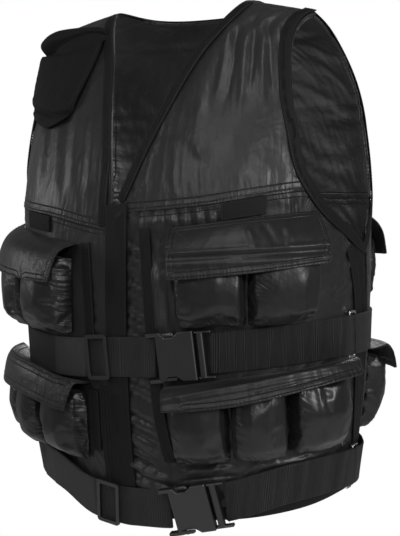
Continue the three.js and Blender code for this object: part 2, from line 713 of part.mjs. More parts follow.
function backYoke() {
  const columns = NECK_COLUMNS + 2 * SHOULDER_COLUMNS;
  const [leftSeam, rightSeam] = [seamPlace(1, false), seamPlace(-1, false)];
  const roundAt = (place) => armholeLine.find((row) => row.place === place).round;
  const [leftRound, rightRound] = [roundAt(leftSeam), 2 * HALF_GIRTH - roundAt(rightSeam)];
  const bottom = (u) => {
    const round = lerp(leftRound, rightRound, u);
    const turn = turnAt(round / HALF_GIRTH, ARMHOLE_HEIGHT);
    return { turn: turn < 0 ? turn + 2 * Math.PI : turn, climb: climbAt(turn, yokeSeam(round) + BUTT_GAP) };
  };
  const fullTurn = (edge) => ({ ...edge, turn: edge.turn < 0 ? edge.turn + 2 * Math.PI : edge.turn });
  const left = (v) => (v === 0 ? bottom(0) : armholeEdge(1, lerp(leftSeam, 1, v)));
  const right = (v) => (v === 0 ? bottom(1) : fullTurn(armholeEdge(-1, lerp(rightSeam, 1, v))));
  const top = (u) => {
    const column = u * columns;
    const shoulder = Math.min(column, columns - column) / SHOULDER_COLUMNS;
    if (shoulder >= 1) return fullTurn(backNeckEdge((column - SHOULDER_COLUMNS) / NECK_COLUMNS));
    const tip = u < 0.5 ? left(1).turn : right(1).turn;
    const neck = fullTurn(backNeckEdge(u < 0.5 ? 0 : 1)).turn;
    return { turn: lerp(tip, neck, shoulder), climb: Math.PI / 2 };
  };
  const placeAt = (u, v) => {
    const place = patch({ left, right, bottom, top }, u, v);
    const low = lerp(bottom(u).climb, LEVEL_CLIMB, v / LEVEL_SHARE);
    const high = lerp(LEVEL_CLIMB, top(u).climb, (v - LEVEL_SHARE) / (1 - LEVEL_SHARE));
    const climb = v < LEVEL_SHARE ? low : high;
    const side = Math.abs(2 * u - 1) ** 6;
    return { turn: place.turn, climb: lerp(climb, place.climb, side) };
  };
  const rows = [...steps(0, LEVEL_SHARE, 4), ...steps(LEVEL_SHARE, 1, 4).slice(1)];
  return yokeGeometry(placeAt, steps(0, 1, columns), rows, false, () => 0);
}

add("yoke_front_left", frontYoke(1), MATERIALS.satin);
add("yoke_front_right", frontYoke(-1), MATERIALS.satin);
add("yoke_back", backYoke(), MATERIALS.satin);

// Bindings of the neck and armholes

/** Tape laid over an edge: edgeAt gives the edge, places are where its stations lie. */
function bindingGeometry(edgeAt, places, towards, insideAt) {
  const rows = places.map((place) => {
    const inside = insideAt(place) ?? moved(edgeAt, place, BINDING_WIDTH, towards);
    return { ends: [edgeAt(place), inside], ridge: { 0: -BUTT_GAP, 1: BUTT_GAP }[place] };
  });
  return slab([0, 1], rows, (column, row, layer) => {
    const { turn, climb } = row.ends[column];
    const point = standOff(turn, climb, LAYER_GAP + (layer ? TAPE_WALL : 0));
    if (row.ridge) point.y = row.ridge;
    return point.toArray();
  });
}

/** A point beside an edge at the shoulder line, this far along it towards the middle of the strap. */
function besideRidge(edge, distance) {
  const x = bodyPoint(edge.turn, Math.PI / 2).x;
  const turn = turnOf(x + distance);
  return { turn: Math.cos(edge.turn) >= 0 ? turn : Math.sign(turn) * Math.PI - turn, climb: Math.PI / 2 };
}

const ARMHOLE_STEPS = 36;

function armholeBinding(side) {
  const edgeAt = (place) => armholeEdge(side, place);
  const atRidge = (place) =>
    place === 0 || place === 1 ? besideRidge(edgeAt(place), -side * BINDING_WIDTH) : undefined;
  return bindingGeometry(edgeAt, steps(0, 1, ARMHOLE_STEPS), side, atRidge);
}

// Height of the front necklines' lower ends
const LEFT_NECK_END = 1.031 * ARMHOLE_HEIGHT;
const RIGHT_NECK_END = 0.945 * ARMHOLE_HEIGHT;
const PLACKET_LEFT = 22; // the placket's edge on the wearer's left of the closure
const PLACKET_RIGHT = PLACKET_LEFT - PLACKET_WIDTH;

/** The whole neckline: up the left front (0 to 1), round the back (1 to 2), down the right front (2 to 3). */
function neckBinding() {
  const lowLeft = climbAt(0, LEFT_NECK_END);
  const lowRight = climbAt(0, RIGHT_NECK_END);
  const keepRight = turnAt((PLACKET_RIGHT - 1.5) / HALF_GIRTH, ARMHOLE_HEIGHT);
  const leftFront = (place) => neckEdge(1, lerp(lowLeft, Math.PI / 2, place));
  const rightFront = (place) => {
    const edge = neckEdge(-1, lerp(Math.PI / 2, lowRight, place));
    return { ...edge, turn: Math.min(edge.turn, keepRight) };
  };
  const frontPlaces = [0, 0.1, 0.2, 0.3, 0.4, 0.5, 0.6, 0.7, 0.8, 0.9];
  const backPlaces = steps(0, 1, NECK_COLUMNS);
  const rows = [
    ...frontPlaces.map((place) => [leftFront(place), moved(leftFront, place, BINDING_WIDTH, 1)]),
    ...backPlaces.map((place) => {
      const edge = backNeckEdge(place);
      if (place === 0 || place === 1) return [edge, besideRidge(edge, place ? -BINDING_WIDTH : BINDING_WIDTH)];
      return [edge, moved(backNeckEdge, place, BINDING_WIDTH, 1)];
    }),
    ...frontPlaces.toReversed().map((place) => {
      const edge = rightFront(1 - place);
      return [edge, moved(rightFront, 1 - place, BINDING_WIDTH, 1)];
    }),
  ];
  return slab([0, 1], rows, (column, row, layer) => {
    const { turn, climb } = row[column];
    return standOff(turn, climb, LAYER_GAP + (layer ? TAPE_WALL : 0)).toArray();
  });
}

add("neck_binding", neckBinding(), MATERIALS.binding);
add("armhole_binding_left", armholeBinding(1), MATERIALS.binding);
add("armhole_binding_right", armholeBinding(-1), MATERIALS.binding);

// Panels under the yokes

// The soft roll of satin above the left side's lower belt: how far it stands out, its half height, its
// gap to the belt, where it starts and ends, and how long it takes to swell and to fade
const ROLL_OUT = 8;
const ROLL_HALF_HEIGHT = 9;
const ROLL_GAP = 2;
const ROLL_START = 30;
const ROLL_END = 165;
const ROLL_SWELLS = 25;
const ROLL_FADES = 35;

function satinRoll(round, height) {
  const swell = smoothstep(ROLL_START, ROLL_START + ROLL_SWELLS, round);
  const share = swell * (1 - smoothstep(ROLL_END - ROLL_FADES, ROLL_END, round));
  const centre = lowerBelt(round) + BELT_WIDTH / 2 + ROLL_HALF_HEIGHT + ROLL_GAP;
  return share * ROLL_OUT * Math.exp(-(((height - centre) / ROLL_HALF_HEIGHT) ** 2));
}

function sideEdge(height) {
  return along(SIDE_EDGE, "height", height / ARMHOLE_HEIGHT).round * HALF_GIRTH;
}

/** Height of the panels' top: the yoke seam, or the armhole where that is lower. */
function panelTop(round) {
  return Math.min(yokeSeam(round), armholeHeight(round)) - BUTT_GAP;
}

/** Panel between two upright edges, each of them a way round that depends on the height. */
function panelGeometry(startAt, endAt, columns, rows) {
  return slab(steps(0, 1, columns), rows, (u, v, layer) => {
    const topRound = lerp(startAt(ARMHOLE_HEIGHT), endAt(ARMHOLE_HEIGHT), u);
    const lowRound = lerp(startAt(0), endAt(0), u);
    const height = lerp(hem(lowRound), panelTop(topRound), v);
    const round = lerp(startAt(height), endAt(height), u);
    return walk(round, height, satinRoll(round, height) - (layer ? 0 : CLOTH_WALL)).toArray();
  });
}

const GUSSET_GAP = 1.8; // between a front panel's slanting rear edge and the gusset
const CLOSURE_GAP = 1.5; // half the gap between the front panels under the placket
const PANEL_ROWS = [0, 0.08, 0.12, 0.155, 0.19, 0.25, 0.4, 0.6, 0.8, 1];
const BACK_ROWS = [0, 0.2, 0.4, 0.6, 0.77, 0.89, 1];
const GUSSET_COLUMNS = 3;
const GUSSET_ROWS = 6;
const frontColumns = Math.round(sideEdge(ARMHOLE_HEIGHT) / CLOTH_STEP);
for (const [name, side] of [["left", 1], ["right", -1]]) {
  const start = () => side * CLOSURE_GAP;
  const end = (height) => side * (sideEdge(height) - BUTT_GAP);
  add(`front_panel_${name}`, panelGeometry(start, end, frontColumns, PANEL_ROWS), MATERIALS.satin);
  const gussetStart = (height) => side * (sideEdge(height) + GUSSET_GAP);
  const gussetEnd = () => side * (BACK_PANEL_START * HALF_GIRTH - BUTT_GAP);
  const gusset = panelGeometry(gussetStart, gussetEnd, GUSSET_COLUMNS, steps(0, 1, GUSSET_ROWS));
  add(`side_gusset_${name}`, gusset, MATERIALS.webbing);
}
const backStart = () => BACK_PANEL_START * HALF_GIRTH + BUTT_GAP;
const backEnd = () => (2 - BACK_PANEL_START) * HALF_GIRTH - BUTT_GAP;
const backColumns = Math.round((backEnd() - backStart()) / CLOTH_STEP);
add("back_panel", panelGeometry(backStart, backEnd, backColumns, BACK_ROWS), MATERIALS.satin);

// Tapes on the front

const tapeLow = (round, height = 0) => LAYER_GAP + (height ? satinRoll(round, height) : 0);

/** Upright tape whose edges may lean: edgesAt(height) gives both edges, out their wall. */
function uprightTape(edgesAt, low, high, wall, count = 10) {
  return slab([0, 1], steps(0, 1, count), (u, v, layer) => {
    const height = lerp(low, high, v);
    const round = lerp(...edgesAt(height), u);
    return walk(round, height, tapeLow(round, height) + (layer ? wall : 0)).toArray();
  });
}

const PLACKET_TOP_DROP = 6; // how far the placket ends below the left front's neck edge
const PLACKET_ROWS = 14;
const placketEdges = () => [PLACKET_RIGHT, PLACKET_LEFT];
const placketTop = LEFT_NECK_END - PLACKET_TOP_DROP;
add("placket", uprightTape(placketEdges, hem(0), placketTop, PLACKET_WALL, PLACKET_ROWS), MATERIALS.binding);

// The left strip leans outwards as it goes down, the right one is nearly upright
const STRIP_LEFT = [
  { height: 0.19, round: 0.112 },
  { height: 0.34, round: 0.096 },
  { height: 0.6, round: 0.086 },
  { height: 0.94, round: 0.071 },
];
const STRIP_RIGHT = [
  { height: 0.46, round: 0.056 },
  { height: 0.6, round: 0.057 },
  { height: 0.89, round: 0.068 },
];
const STRIP_RIGHT_LOWER = [
  { height: 0.2, round: 0.0545 },
  { height: 0.3, round: 0.053 },
  { height: 0.405, round: 0.053 },
];

function stripGeometry(side, rows) {
  const edgesAt = (height) => {
    const middle = along(rows, "height", height / ARMHOLE_HEIGHT).round * HALF_GIRTH;
    return [side * (middle - STRIP_WIDTH / 2), side * (middle + STRIP_WIDTH / 2)];
  };
  const [low, high] = [rows[0].height * ARMHOLE_HEIGHT, rows.at(-1).height * ARMHOLE_HEIGHT];
  return uprightTape(edgesAt, low, high, TAPE_WALL);
}

add("strip_left", stripGeometry(1, STRIP_LEFT), MATERIALS.webbing);
add("strip_right", stripGeometry(-1, STRIP_RIGHT), MATERIALS.webbing);
add("strip_right_lower", stripGeometry(-1, STRIP_RIGHT_LOWER), MATERIALS.webbing);

const ZIP_GAP = 1; // between the zip's tape and the placket
const ZIP_HEM_GAP = 3;
const ZIP_TOP = 0.42; // height of the zip's top, as a share of the armhole's height
const ZIP_ROWS = 6;
const zipLow = hem(PLACKET_RIGHT) + BINDING_WIDTH + ZIP_HEM_GAP;
const zipHigh = ZIP_TOP * ARMHOLE_HEIGHT;
const zipEdges = () => [PLACKET_RIGHT - ZIP_GAP - ZIP_WIDTH, PLACKET_RIGHT - ZIP_GAP];
add("front_zip", uprightTape(zipEdges, zipLow, zipHigh, TAPE_WALL, ZIP_ROWS), MATERIALS.webbing);

// Tapes down the rear edges of the front panels
const SIDE_TAPE_HEM_GAP = 4;
const SIDE_TAPE_TOP_DROP = 2.4 * BINDING_WIDTH; // how far they end below the armhole's edge
for (const [name, side] of [["left", 1], ["right", -1]]) {
  const edgesAt = (height) => [side * (sideEdge(height) - SIDE_TAPE_WIDTH), side * sideEdge(height)];
  const low = hem(side * sideEdge(0)) + BINDING_WIDTH + SIDE_TAPE_HEM_GAP;
  const high = armholeHeight(sideEdge(ARMHOLE_HEIGHT)) - SIDE_TAPE_TOP_DROP;
  add(`side_tape_${name}`, uprightTape(edgesAt, low, high, TAPE_WALL), MATERIALS.webbing);
}

// Binding of the hem, from one side of the placket all the way round to the other
const HEM_END_GAP = 1.5; // between the hem's binding and the placket
const hemRounds = stations(PLACKET_LEFT + HEM_END_GAP, 2 * HALF_GIRTH + PLACKET_RIGHT - HEM_END_GAP);
const tapeFace = () => LAYER_GAP + TAPE_WALL;
const hemHeight = (round, up) => hem(round) + up;
add("hem_binding", laid(hemRounds, [0, BINDING_WIDTH], hemHeight, () => LAYER_GAP, tapeFace), MATERIALS.binding);

// Bare patches under the yoke seams: their size, the gap under the seam, and where each starts, as a share
// of the half girth from the middle of the front
const PATCH_LENGTH = 54;
const PATCH_HEIGHT = 21;
const PATCH_SEAM_GAP = 3;
const PATCHES = [
  { name: "left", side: 1, start: 0.222 },
  { name: "right", side: -1, start: 0.168 },
];
for (const { name, side, start } of PATCHES) {
  const from = side * start * HALF_GIRTH;
  const rounds = steps(from, from + side * PATCH_LENGTH, 4);
  const heightAt = (round, up) => yokeSeam(round) - BUTT_GAP - PATCH_SEAM_GAP - PATCH_HEIGHT * (1 - up);
  add(`patch_${name}`, laid(rounds, [0, 1], heightAt, () => LAYER_GAP, tapeFace), MATERIALS.webbing);
}

// Pockets

const CELL_COLUMNS = 5;
const CELL_ROWS = 4;
const CELL_TOP_DROP = 0.012; // how far the cells end below the flap's sewn edge, as a share of the height
const CELL_UNDER_FLAP = 0.72; // how far a cell reaches up behind its flap, from its edge (0) to its fold (1)
const CELL_SIDE_POWER = 3.2; // how square a cell's section is across, 2 being an ellipse
const CELL_END_POWER = 2.8; // and upright
const CELL_END_WALL = 0.02; // where the upright section starts, so that a cell's ends keep a wall
const FLAP_COLUMNS = 8;
const FLAP_TOP_WALL = 0.8; // the wall at the sewn edge, as a share of the flap's
// Section of a flap from its sewn edge down: between which levels of the row's table a point lies, how far
// down between them, and how far it stands out as a share of the flap's depth; the top row gets its wall
const FLAP_SECTION = [
  { from: "sewn", to: "fold", share: 0, out: 0 },
  { from: "sewn", to: "fold", share: 0.3, out: 0.334 },
  { from: "sewn", to: "fold", share: 0.85, out: 0.63 },
  { from: "fold", to: "edge", share: 0.3, out: 0.85 },
  { from: "fold", to: "edge", share: 1, out: 1 },
];

function bulge(share, power) {
  return Math.max(0, 1 - Math.abs(2 * share - 1) ** power) ** (1 / power);
}

function eased(count) {
  return steps(0, Math.PI, count).map((angle) => (1 - Math.cos(angle)) / 2);
}

/** Cells of one pocket row between two shares of its width, as one filled bag with a lobe for each cell. */
function cellGeometry(row, lobes) {
  const columns = lobes.flatMap(([from, to], k) => {
    const inset = CELL_GAP / 2 / row.width;
    const shares = eased(CELL_COLUMNS).map((u) => ({ u, share: lerp(from + inset, to - inset, u) }));
    return k ? shares.slice(1) : shares;
  });
  return slab(columns, eased(CELL_ROWS), ({ u, share }, v, layer) => {
    const round = row.side * (row.start * HALF_GIRTH + share * row.width);
    const level = along(row.flap, "along", share);
    const top = lerp(level.edge, Math.min(level.fold, level.sewn - CELL_TOP_DROP), CELL_UNDER_FLAP);
    const height = lerp(level.floor, top, v) * ARMHOLE_HEIGHT;
    const upright = bulge(lerp(CELL_END_WALL, 1 - CELL_END_WALL, v), CELL_END_POWER);
    const full = CELL_DEPTH * row.depth * bulge(u, CELL_SIDE_POWER) * upright;
    return walk(round, height, tapeLow(round, height) + CELL_LIFT + (layer ? CELL_EDGE + full : 0)).toArray();
  });
}

/** Flap of a pocket row: sewn along its top, out over the cells and down in front of them. */
function flapGeometry(row) {
  const depth = FLAP_DEPTH * row.depth;
  const ends = [-FLAP_OVERHANG / row.width, 1 + FLAP_OVERHANG / row.width];
  const pointAt = (share, k) => {
    const level = along(row.flap, "along", Math.min(1, Math.max(0, share)));
    const { from, to, share: part, out } = FLAP_SECTION[k];
    const standing = k ? out * depth : LAYER_GAP + FLAP_WALL;
    return { out: standing, height: lerp(level[from], level[to], part) * ARMHOLE_HEIGHT };
  };
  const last = FLAP_SECTION.length - 1;
  return slab(steps(ends[0], ends[1], FLAP_COLUMNS), steps(0, last, last), (share, k, layer) => {
    const point = pointAt(share, k);
    const before = pointAt(share, Math.max(k - 1, 0));
    const after = pointAt(share, Math.min(k + 1, last));
    const [dx, dy] = [after.out - before.out, after.height - before.height];
    const length = Math.hypot(dx, dy) || 1;
    const wall = layer ? 0 : FLAP_WALL;
    const taper = (share - 0.5) * 2 * FLAP_TAPER * (k / last);
    const round = row.side * (row.start * HALF_GIRTH + share * row.width - taper);
    if (k === 0) return walk(round, point.height - wall * FLAP_TOP_WALL, layer ? point.out : LAYER_GAP).toArray();
    return walk(round, point.height - (wall * dx) / length, point.out + (wall * dy) / length).toArray();
  });
}

for (const row of POCKET_ROWS) {
  let from = 0;
  const lobes = row.shares.map((share) => {
    const lobe = [from, from + share];
    from += share;
    return lobe;
  });
  if (row.name.startsWith("back")) add(`cells_${row.name}`, cellGeometry(row, lobes), MATERIALS.padding);
  else {
    lobes.forEach((lobe, k) => add(`cell_${row.name}_${k + 1}`, cellGeometry(row, [lobe]), MATERIALS.padding));
  }
  add(`flap_${row.name}`, flapGeometry(row), MATERIALS.satin);
}

// Belts

const RING_HEIGHT = BELT_WIDTH + 2 * RING_WIRE + 3; // the last is the webbing's play in the ring
const RING_ROUND = RING_AT * HALF_GIRTH;
const SIDE_TAPE_END = Math.max(sideEdge(0.5 * ARMHOLE_HEIGHT), sideEdge(0));
const BUCKLE_LENGTH = BUCKLE_BODY_LENGTH + 2 * BUTT_GAP + BUCKLE_LATCH_LENGTH;
const BUCKLE_OUT = 2.6; // how far a buckle's back stands off what its belt lies on
const BELT_LIFT = 3; // how much the belt's ends rise to the buckle's bars
const SLIDER_ROUND = SLIDER_AT * HALF_GIRTH;
const RING_INSET = 0.5; // how far a side ring's flat back lies inside its belt's inner face
const TAB_GAP = 3.5; // between a slider and the doubled stretch of its belt
const LOWER_BELT_PLAY = 0.3; // what the lower belt keeps clear of the tapes that it crosses
// Where a belt comes down from the placket, as shares of the half girth
const OFF_PLACKET_START = 0.09;
const OFF_PLACKET_END = 0.14;
// Where it rises to a ring, before the ring, and comes down past the side tape
const RING_RISE_START = 45;
const RING_RISE_END = 26;
const RING_FALL_START = 4;
const RING_FALL_END = 28;
// Where it rises to the buckle, before it, and comes down past it
const BUCKLE_RISE_START = 34;
const BUCKLE_RISE_END = 12;
const BUCKLE_FALL = 30;

const BELTS = [
  { name: "upper", centre: upperBelt, base: LAYER_GAP, buckle: UPPER_BUCKLE_AT, tabEnd: TAB_END_UPPER },
  {
    name: "lower", centre: lowerBelt, base: 2 * LAYER_GAP + TAPE_WALL + LOWER_BELT_PLAY,
    buckle: LOWER_BUCKLE_AT, tabEnd: TAB_END_LOWER,
  },
];

/** How far out a belt's inner face lies: it climbs over the placket, strips and rings, and to the buckle. */
function beltOut(belt, round) {
  const way = round > HALF_GIRTH ? 2 * HALF_GIRTH - round : Math.abs(round);
  const overPlacket = 2 * LAYER_GAP + PLACKET_WALL;
  const overRing = belt.base + RING_WIRE + LAYER_GAP + RING_INSET;
  const near = 1 - smoothstep(OFF_PLACKET_START * HALF_GIRTH, OFF_PLACKET_END * HALF_GIRTH, way);
  const rise = smoothstep(RING_ROUND - RING_RISE_START, RING_ROUND - RING_RISE_END, way);
  const fall = 1 - smoothstep(SIDE_TAPE_END + RING_FALL_START, SIDE_TAPE_END + RING_FALL_END, way);
  const buckle = belt.buckle * HALF_GIRTH;
  const past = buckle + BUCKLE_LENGTH;
  const onto = smoothstep(buckle - BUCKLE_RISE_START, buckle - BUCKLE_RISE_END, round);
  const atBuckle = onto * (1 - smoothstep(past, past + BUCKLE_FALL, round));
  const low = Math.max(belt.base, lerp(belt.base, overPlacket, near), lerp(belt.base, overRing, rise * fall));
  return low + BELT_LIFT * atBuckle;
}

/** A stretch of belt. doubled gives the two ends of the part where the webbing lies double, if it has one. */
function beltGeometry(belt, from, to, doubled = []) {
  const inside = doubled.flatMap((end, k) => [end, end + (k ? 1 : -1)]);
  const isDoubled = (round) => doubled.length > 0 && round >= doubled[0] && round <= doubled[1];
  const rounds = [...stations(from, to), ...inside].sort((a, b) => a - b);
  return laid(
    rounds, [-BELT_WIDTH / 2, BELT_WIDTH / 2],
    (round, up) => belt.centre(round) + up,
    (round) => beltOut(belt, round),
    (round) => beltOut(belt, round) + BELT_WALL + (isDoubled(round) ? TAB_WALL : 0),
  );
}

/** Frame of a flat piece on a belt: x along the belt, y up across it and z out of the cloth. */
function hardwareFrame(belt, round, out) {
  const reach = 6;
  const centre = belt.centre(round);
  const ahead = walk(round + reach, belt.centre(round + reach), 0);
  const x = ahead.sub(walk(round - reach, belt.centre(round - reach), 0)).normalize();
  const up = walk(round, centre + reach, 0).sub(walk(round, centre - reach, 0));
  const z = x.clone().cross(up).normalize();
  return new THREE.Matrix4().makeBasis(x, z.clone().cross(x), z).setPosition(walk(round, centre, out));
}

function addHardware(name, geometry, material, frame) {
  add(name, geometry, material).applyMatrix4(frame);
}

/** Closed outline of a rectangle with round corners. */
function roundedOutline(width, height, corner, path) {
  const [x, y] = [width / 2 - corner, height / 2 - corner];
  path.absarc(x, -y, corner, -Math.PI / 2, 0, false);
  path.absarc(x, y, corner, 0, Math.PI / 2, false);
  path.absarc(-x, y, corner, Math.PI / 2, Math.PI, false);
  path.absarc(-x, -y, corner, Math.PI, 1.5 * Math.PI, false);
  return path;
}

/** Flat ring: a rectangle with round corners round a window, its bars this wide. */
function ringPlate(width, height, corner, bar, depth, smoothness) {
  const outer = roundedOutline(width, height, corner, new THREE.Shape());
  const shape = new THREE.Shape(outer.getPoints(smoothness));
  const inner = roundedOutline(width - 2 * bar, height - 2 * bar, corner / 3, new THREE.Path());
  shape.holes.push(new THREE.Path(inner.getPoints(1)));
  return new THREE.ExtrudeGeometry(shape, { depth, bevelEnabled: false });
}

// Parts of the buckle
const NOTCH_START = 6; // from the belt end of the socket to the notch for the release arm
const NOTCH_LENGTH = 20;
const NOTCH_DEPTH = 6;
const RAIL_LENGTH = 11; // rails beside the webbing, past the socket's block
const RAIL_INSIDE = BELT_WIDTH / 2 + 1.2; // from the middle of the belt to a rail
const LATCH_BAR_START = 3;
const LATCH_BAR = 8;
const BUCKLE_BEVEL = 1.4;
const RAIL_SLOT = 4; // between the webbing's end and the block or bar it goes round

/** Solid from one half of its outline, from the middle of one end round the upper edge to the other. */
function mirroredPlate(upper, depth) {
  const lower = upper.toReversed().map(([x, y]) => [x, -y]);
  const outline = [...upper, ...lower].map((point) => new THREE.Vector2(...point));
  const options = { depth: depth - 2 * BUCKLE_BEVEL, bevelThickness: BUCKLE_BEVEL, bevelSize: BUCKLE_BEVEL };
  const geometry = new THREE.ExtrudeGeometry(new THREE.Shape(outline), { ...options, bevelSegments: 1 });
  return geometry.translate(0, 0, BUCKLE_BEVEL);
}

/** The socket: a block, notched above and below where the release arms show, and two rails. */
function socketGeometry() {
  const top = BUCKLE_HEIGHT / 2 - BUCKLE_BEVEL;
  const end = BUCKLE_BODY_LENGTH - BUCKLE_BEVEL;
  const notchEnd = NOTCH_START + NOTCH_LENGTH;
  const deep = top - NOTCH_DEPTH;
  const railInside = RAIL_INSIDE + BUCKLE_BEVEL;
  return mirroredPlate([
    [end, top], [notchEnd + 5, top], [notchEnd, deep + 2], [notchEnd - 3, deep], [NOTCH_START + 5, deep],
    [NOTCH_START, top], [-RAIL_LENGTH, top], [-RAIL_LENGTH, railInside], [BUCKLE_BEVEL, railInside],
  ], BUCKLE_DEPTH);
}

/** The latch: a bar across between two rails, with the webbing's end between them. */
function latchGeometry() {
  const top = BUCKLE_HEIGHT / 2 - 1 - BUCKLE_BEVEL;
  const end = BUCKLE_LATCH_LENGTH - BUCKLE_BEVEL;
  const railInside = RAIL_INSIDE + BUCKLE_BEVEL;
  const bar = [LATCH_BAR_START + BUCKLE_BEVEL, LATCH_BAR_START + LATCH_BAR - BUCKLE_BEVEL];
  const outline = [
    [bar[1], railInside], [end, railInside], [end, top], [BUCKLE_BEVEL, top], [BUCKLE_BEVEL, railInside],
    [bar[0], railInside],
  ];
  return mirroredPlate(outline, BUCKLE_DEPTH - 3);
}

for (const belt of BELTS) {
  const start = belt.buckle * HALF_GIRTH;
  const end = start + BUCKLE_LENGTH;
  const latchStart = end - BUCKLE_LATCH_LENGTH;
  const near = RING_ROUND - BUTT_GAP;
  const far = RING_ROUND + BUTT_GAP;
  const doubled = [belt.tabEnd * HALF_GIRTH, SLIDER_ROUND - TAB_GAP];
  add(`belt_${belt.name}_right`, beltGeometry(belt, -near, start - RAIL_SLOT, doubled), MATERIALS.webbing);
  const leftStart = latchStart + LATCH_BAR_START + LATCH_BAR + RAIL_SLOT;
  add(`belt_${belt.name}_left`, beltGeometry(belt, leftStart, near), MATERIALS.webbing);
  add(`belt_${belt.name}_back`, beltGeometry(belt, far, 2 * HALF_GIRTH - far), MATERIALS.webbing);

  const middle = (start + end) / 2;
  const buckleFrame = hardwareFrame(belt, middle, belt.base - LAYER_GAP + BUCKLE_OUT);
  const socket = socketGeometry().translate(start - middle, 0, 0);
  addHardware(`buckle_socket_${belt.name}`, socket, MATERIALS.plastic, buckleFrame);
  const latch = latchGeometry().translate(latchStart - middle, 0, 1);
  addHardware(`buckle_latch_${belt.name}`, latch, MATERIALS.plastic, buckleFrame);

  const sliderAt = SLIDER_ROUND + SLIDER_LENGTH / 2;
  const sliderOut = beltOut(belt, sliderAt) + BELT_WALL + LAYER_GAP;
  const slider = ringPlate(SLIDER_LENGTH, SLIDER_HEIGHT, SLIDER_BAR, SLIDER_BAR, SLIDER_DEPTH, 2);
  addHardware(`slider_${belt.name}`, slider, MATERIALS.plastic, hardwareFrame(belt, sliderAt, sliderOut));

  for (const [name, side] of [["left", 1], ["right", -1]]) {
    const ring = ringPlate(RING_LENGTH, RING_HEIGHT, RING_WIRE, RING_WIRE, RING_WIRE, 1);
    const frame = hardwareFrame(belt, side * RING_ROUND, belt.base - RING_INSET);
    addHardware(`ring_${belt.name}_${name}`, ring, MATERIALS.metal, frame);
  }
}

// Shoulder pad on the wearer's right, with its top rolled and a thin lip under its lower end

// Sides of the pad: rise as for the neckline, near and far as shares of SHOULDER_HALF_WIDTH
const PAD_SIDES = [
  { rise: 0.4, near: 0.57, far: 0.93 },
  { rise: 0.47, near: 0.5, far: 1.02 },
  { rise: 0.61, near: 0.44, far: 1.05 },
  { rise: 0.73, near: 0.42, far: 1.06 },
  { rise: 0.8, near: 0.42, far: 1.06 },
  { rise: 0.9, near: 0.45, far: 1.04 },
];
// Ends of the pad from its side by the neck (0) to the one by the armhole: rise of its lower end, of the
// crease under the roll and of the top, and the roll's thickness as a share of PAD_ROLL_WALL
const PAD_ENDS = [
  { across: 0.0, foot: 0.475, crease: 0.868, top: 0.893, roll: 0.3 },
  { across: 0.25, foot: 0.437, crease: 0.858, top: 0.904, roll: 0.6 },
  { across: 0.6, foot: 0.445, crease: 0.828, top: 0.905, roll: 0.9 },
  { across: 0.9, foot: 0.5, crease: 0.802, top: 0.893, roll: 1.0 },
  { across: 1.0, foot: 0.535, crease: 0.808, top: 0.88, roll: 0.6 },
];
// Rows of the pad from the lip up: place between its lower end (0) and the crease (1), or up the roll to
// the top (2), with the thickness as a share of PAD_WALL
const PAD_ROWS = [
  { place: -0.09, wall: 0.3 },
  { place: -0.01, wall: 0.3 },
  { place: 0.0, wall: 0.55 },
  { place: 0.05, wall: 0.95 },
  { place: 0.25, wall: 1 },
  { place: 0.5, wall: 1 },
  { place: 0.75, wall: 1 },
  { place: 0.94, wall: 1 },
  { place: 1.0, wall: 0.6 },
];
const ROLL_ROWS = 5;
const ROLL_POWER = 2.2; // how square the roll's section is, 2 being an ellipse
const PAD_POWER = 5; // and the pad's section across
const PAD_SIDE_WALL = 0.02; // where that section starts, so that the pad's sides keep a wall
const PAD_COLUMNS = 7;
const PAD_PLAY = 0.6; // what the pad keeps clear of the neck's binding
const PAD_OUT = 2 * LAYER_GAP + TAPE_WALL + PAD_PLAY;

function padPoint(across, row, layer) {
  const ends = along(PAD_ENDS, "across", across);
  const onRoll = row.place > 1;
  const rise = onRoll ? lerp(ends.crease, ends.top, row.place - 1) : lerp(ends.foot, ends.crease, row.place);
  const sides = along(PAD_SIDES, "rise", rise);
  const turn = turnOf(-lerp(sides.near, sides.far, across) * SHOULDER_HALF_WIDTH);
  const edge = bulge(lerp(PAD_SIDE_WALL, 1 - PAD_SIDE_WALL, across), PAD_POWER);
  const roll = onRoll ? PAD_ROLL_WALL * ends.roll * bulge(row.place - 1, ROLL_POWER) : 0;
  const wall = PAD_WALL * row.wall * edge + roll * edge;
  return standOff(turn, climbAt(turn, riseHeight(rise)), PAD_OUT + (layer ? wall : 0)).toArray();
}

const ROLL_WALLS = [0.6, 0.3]; // the wall from the crease to the top, as shares of PAD_WALL
const rollShares = eased(ROLL_ROWS).slice(1);
const rollRows = rollShares.map((share) => ({ place: 1 + share, wall: lerp(...ROLL_WALLS, share) }));
add("shoulder_pad", slab(eased(PAD_COLUMNS), [...PAD_ROWS, ...rollRows], padPoint), MATERIALS.mattePad);

// The origin lies between the neck points, at the face of the cloth that rests on the shoulders
vest.position.z = -(BODY_LENGTH - YOKE_WALL);

export default vest;
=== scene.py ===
"""Weighted vest: the cloth, padding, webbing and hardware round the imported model.

Every piece starts from its node in the frame, so it lies where the model says. Lengths are in metres.
"""

from __future__ import annotations

import json
import logging
import math
from dataclasses import dataclass
from enum import Enum

import bmesh
import bpy
import numpy as np
from mathutils import Matrix, Vector
from mathutils.bvhtree import BVHTree

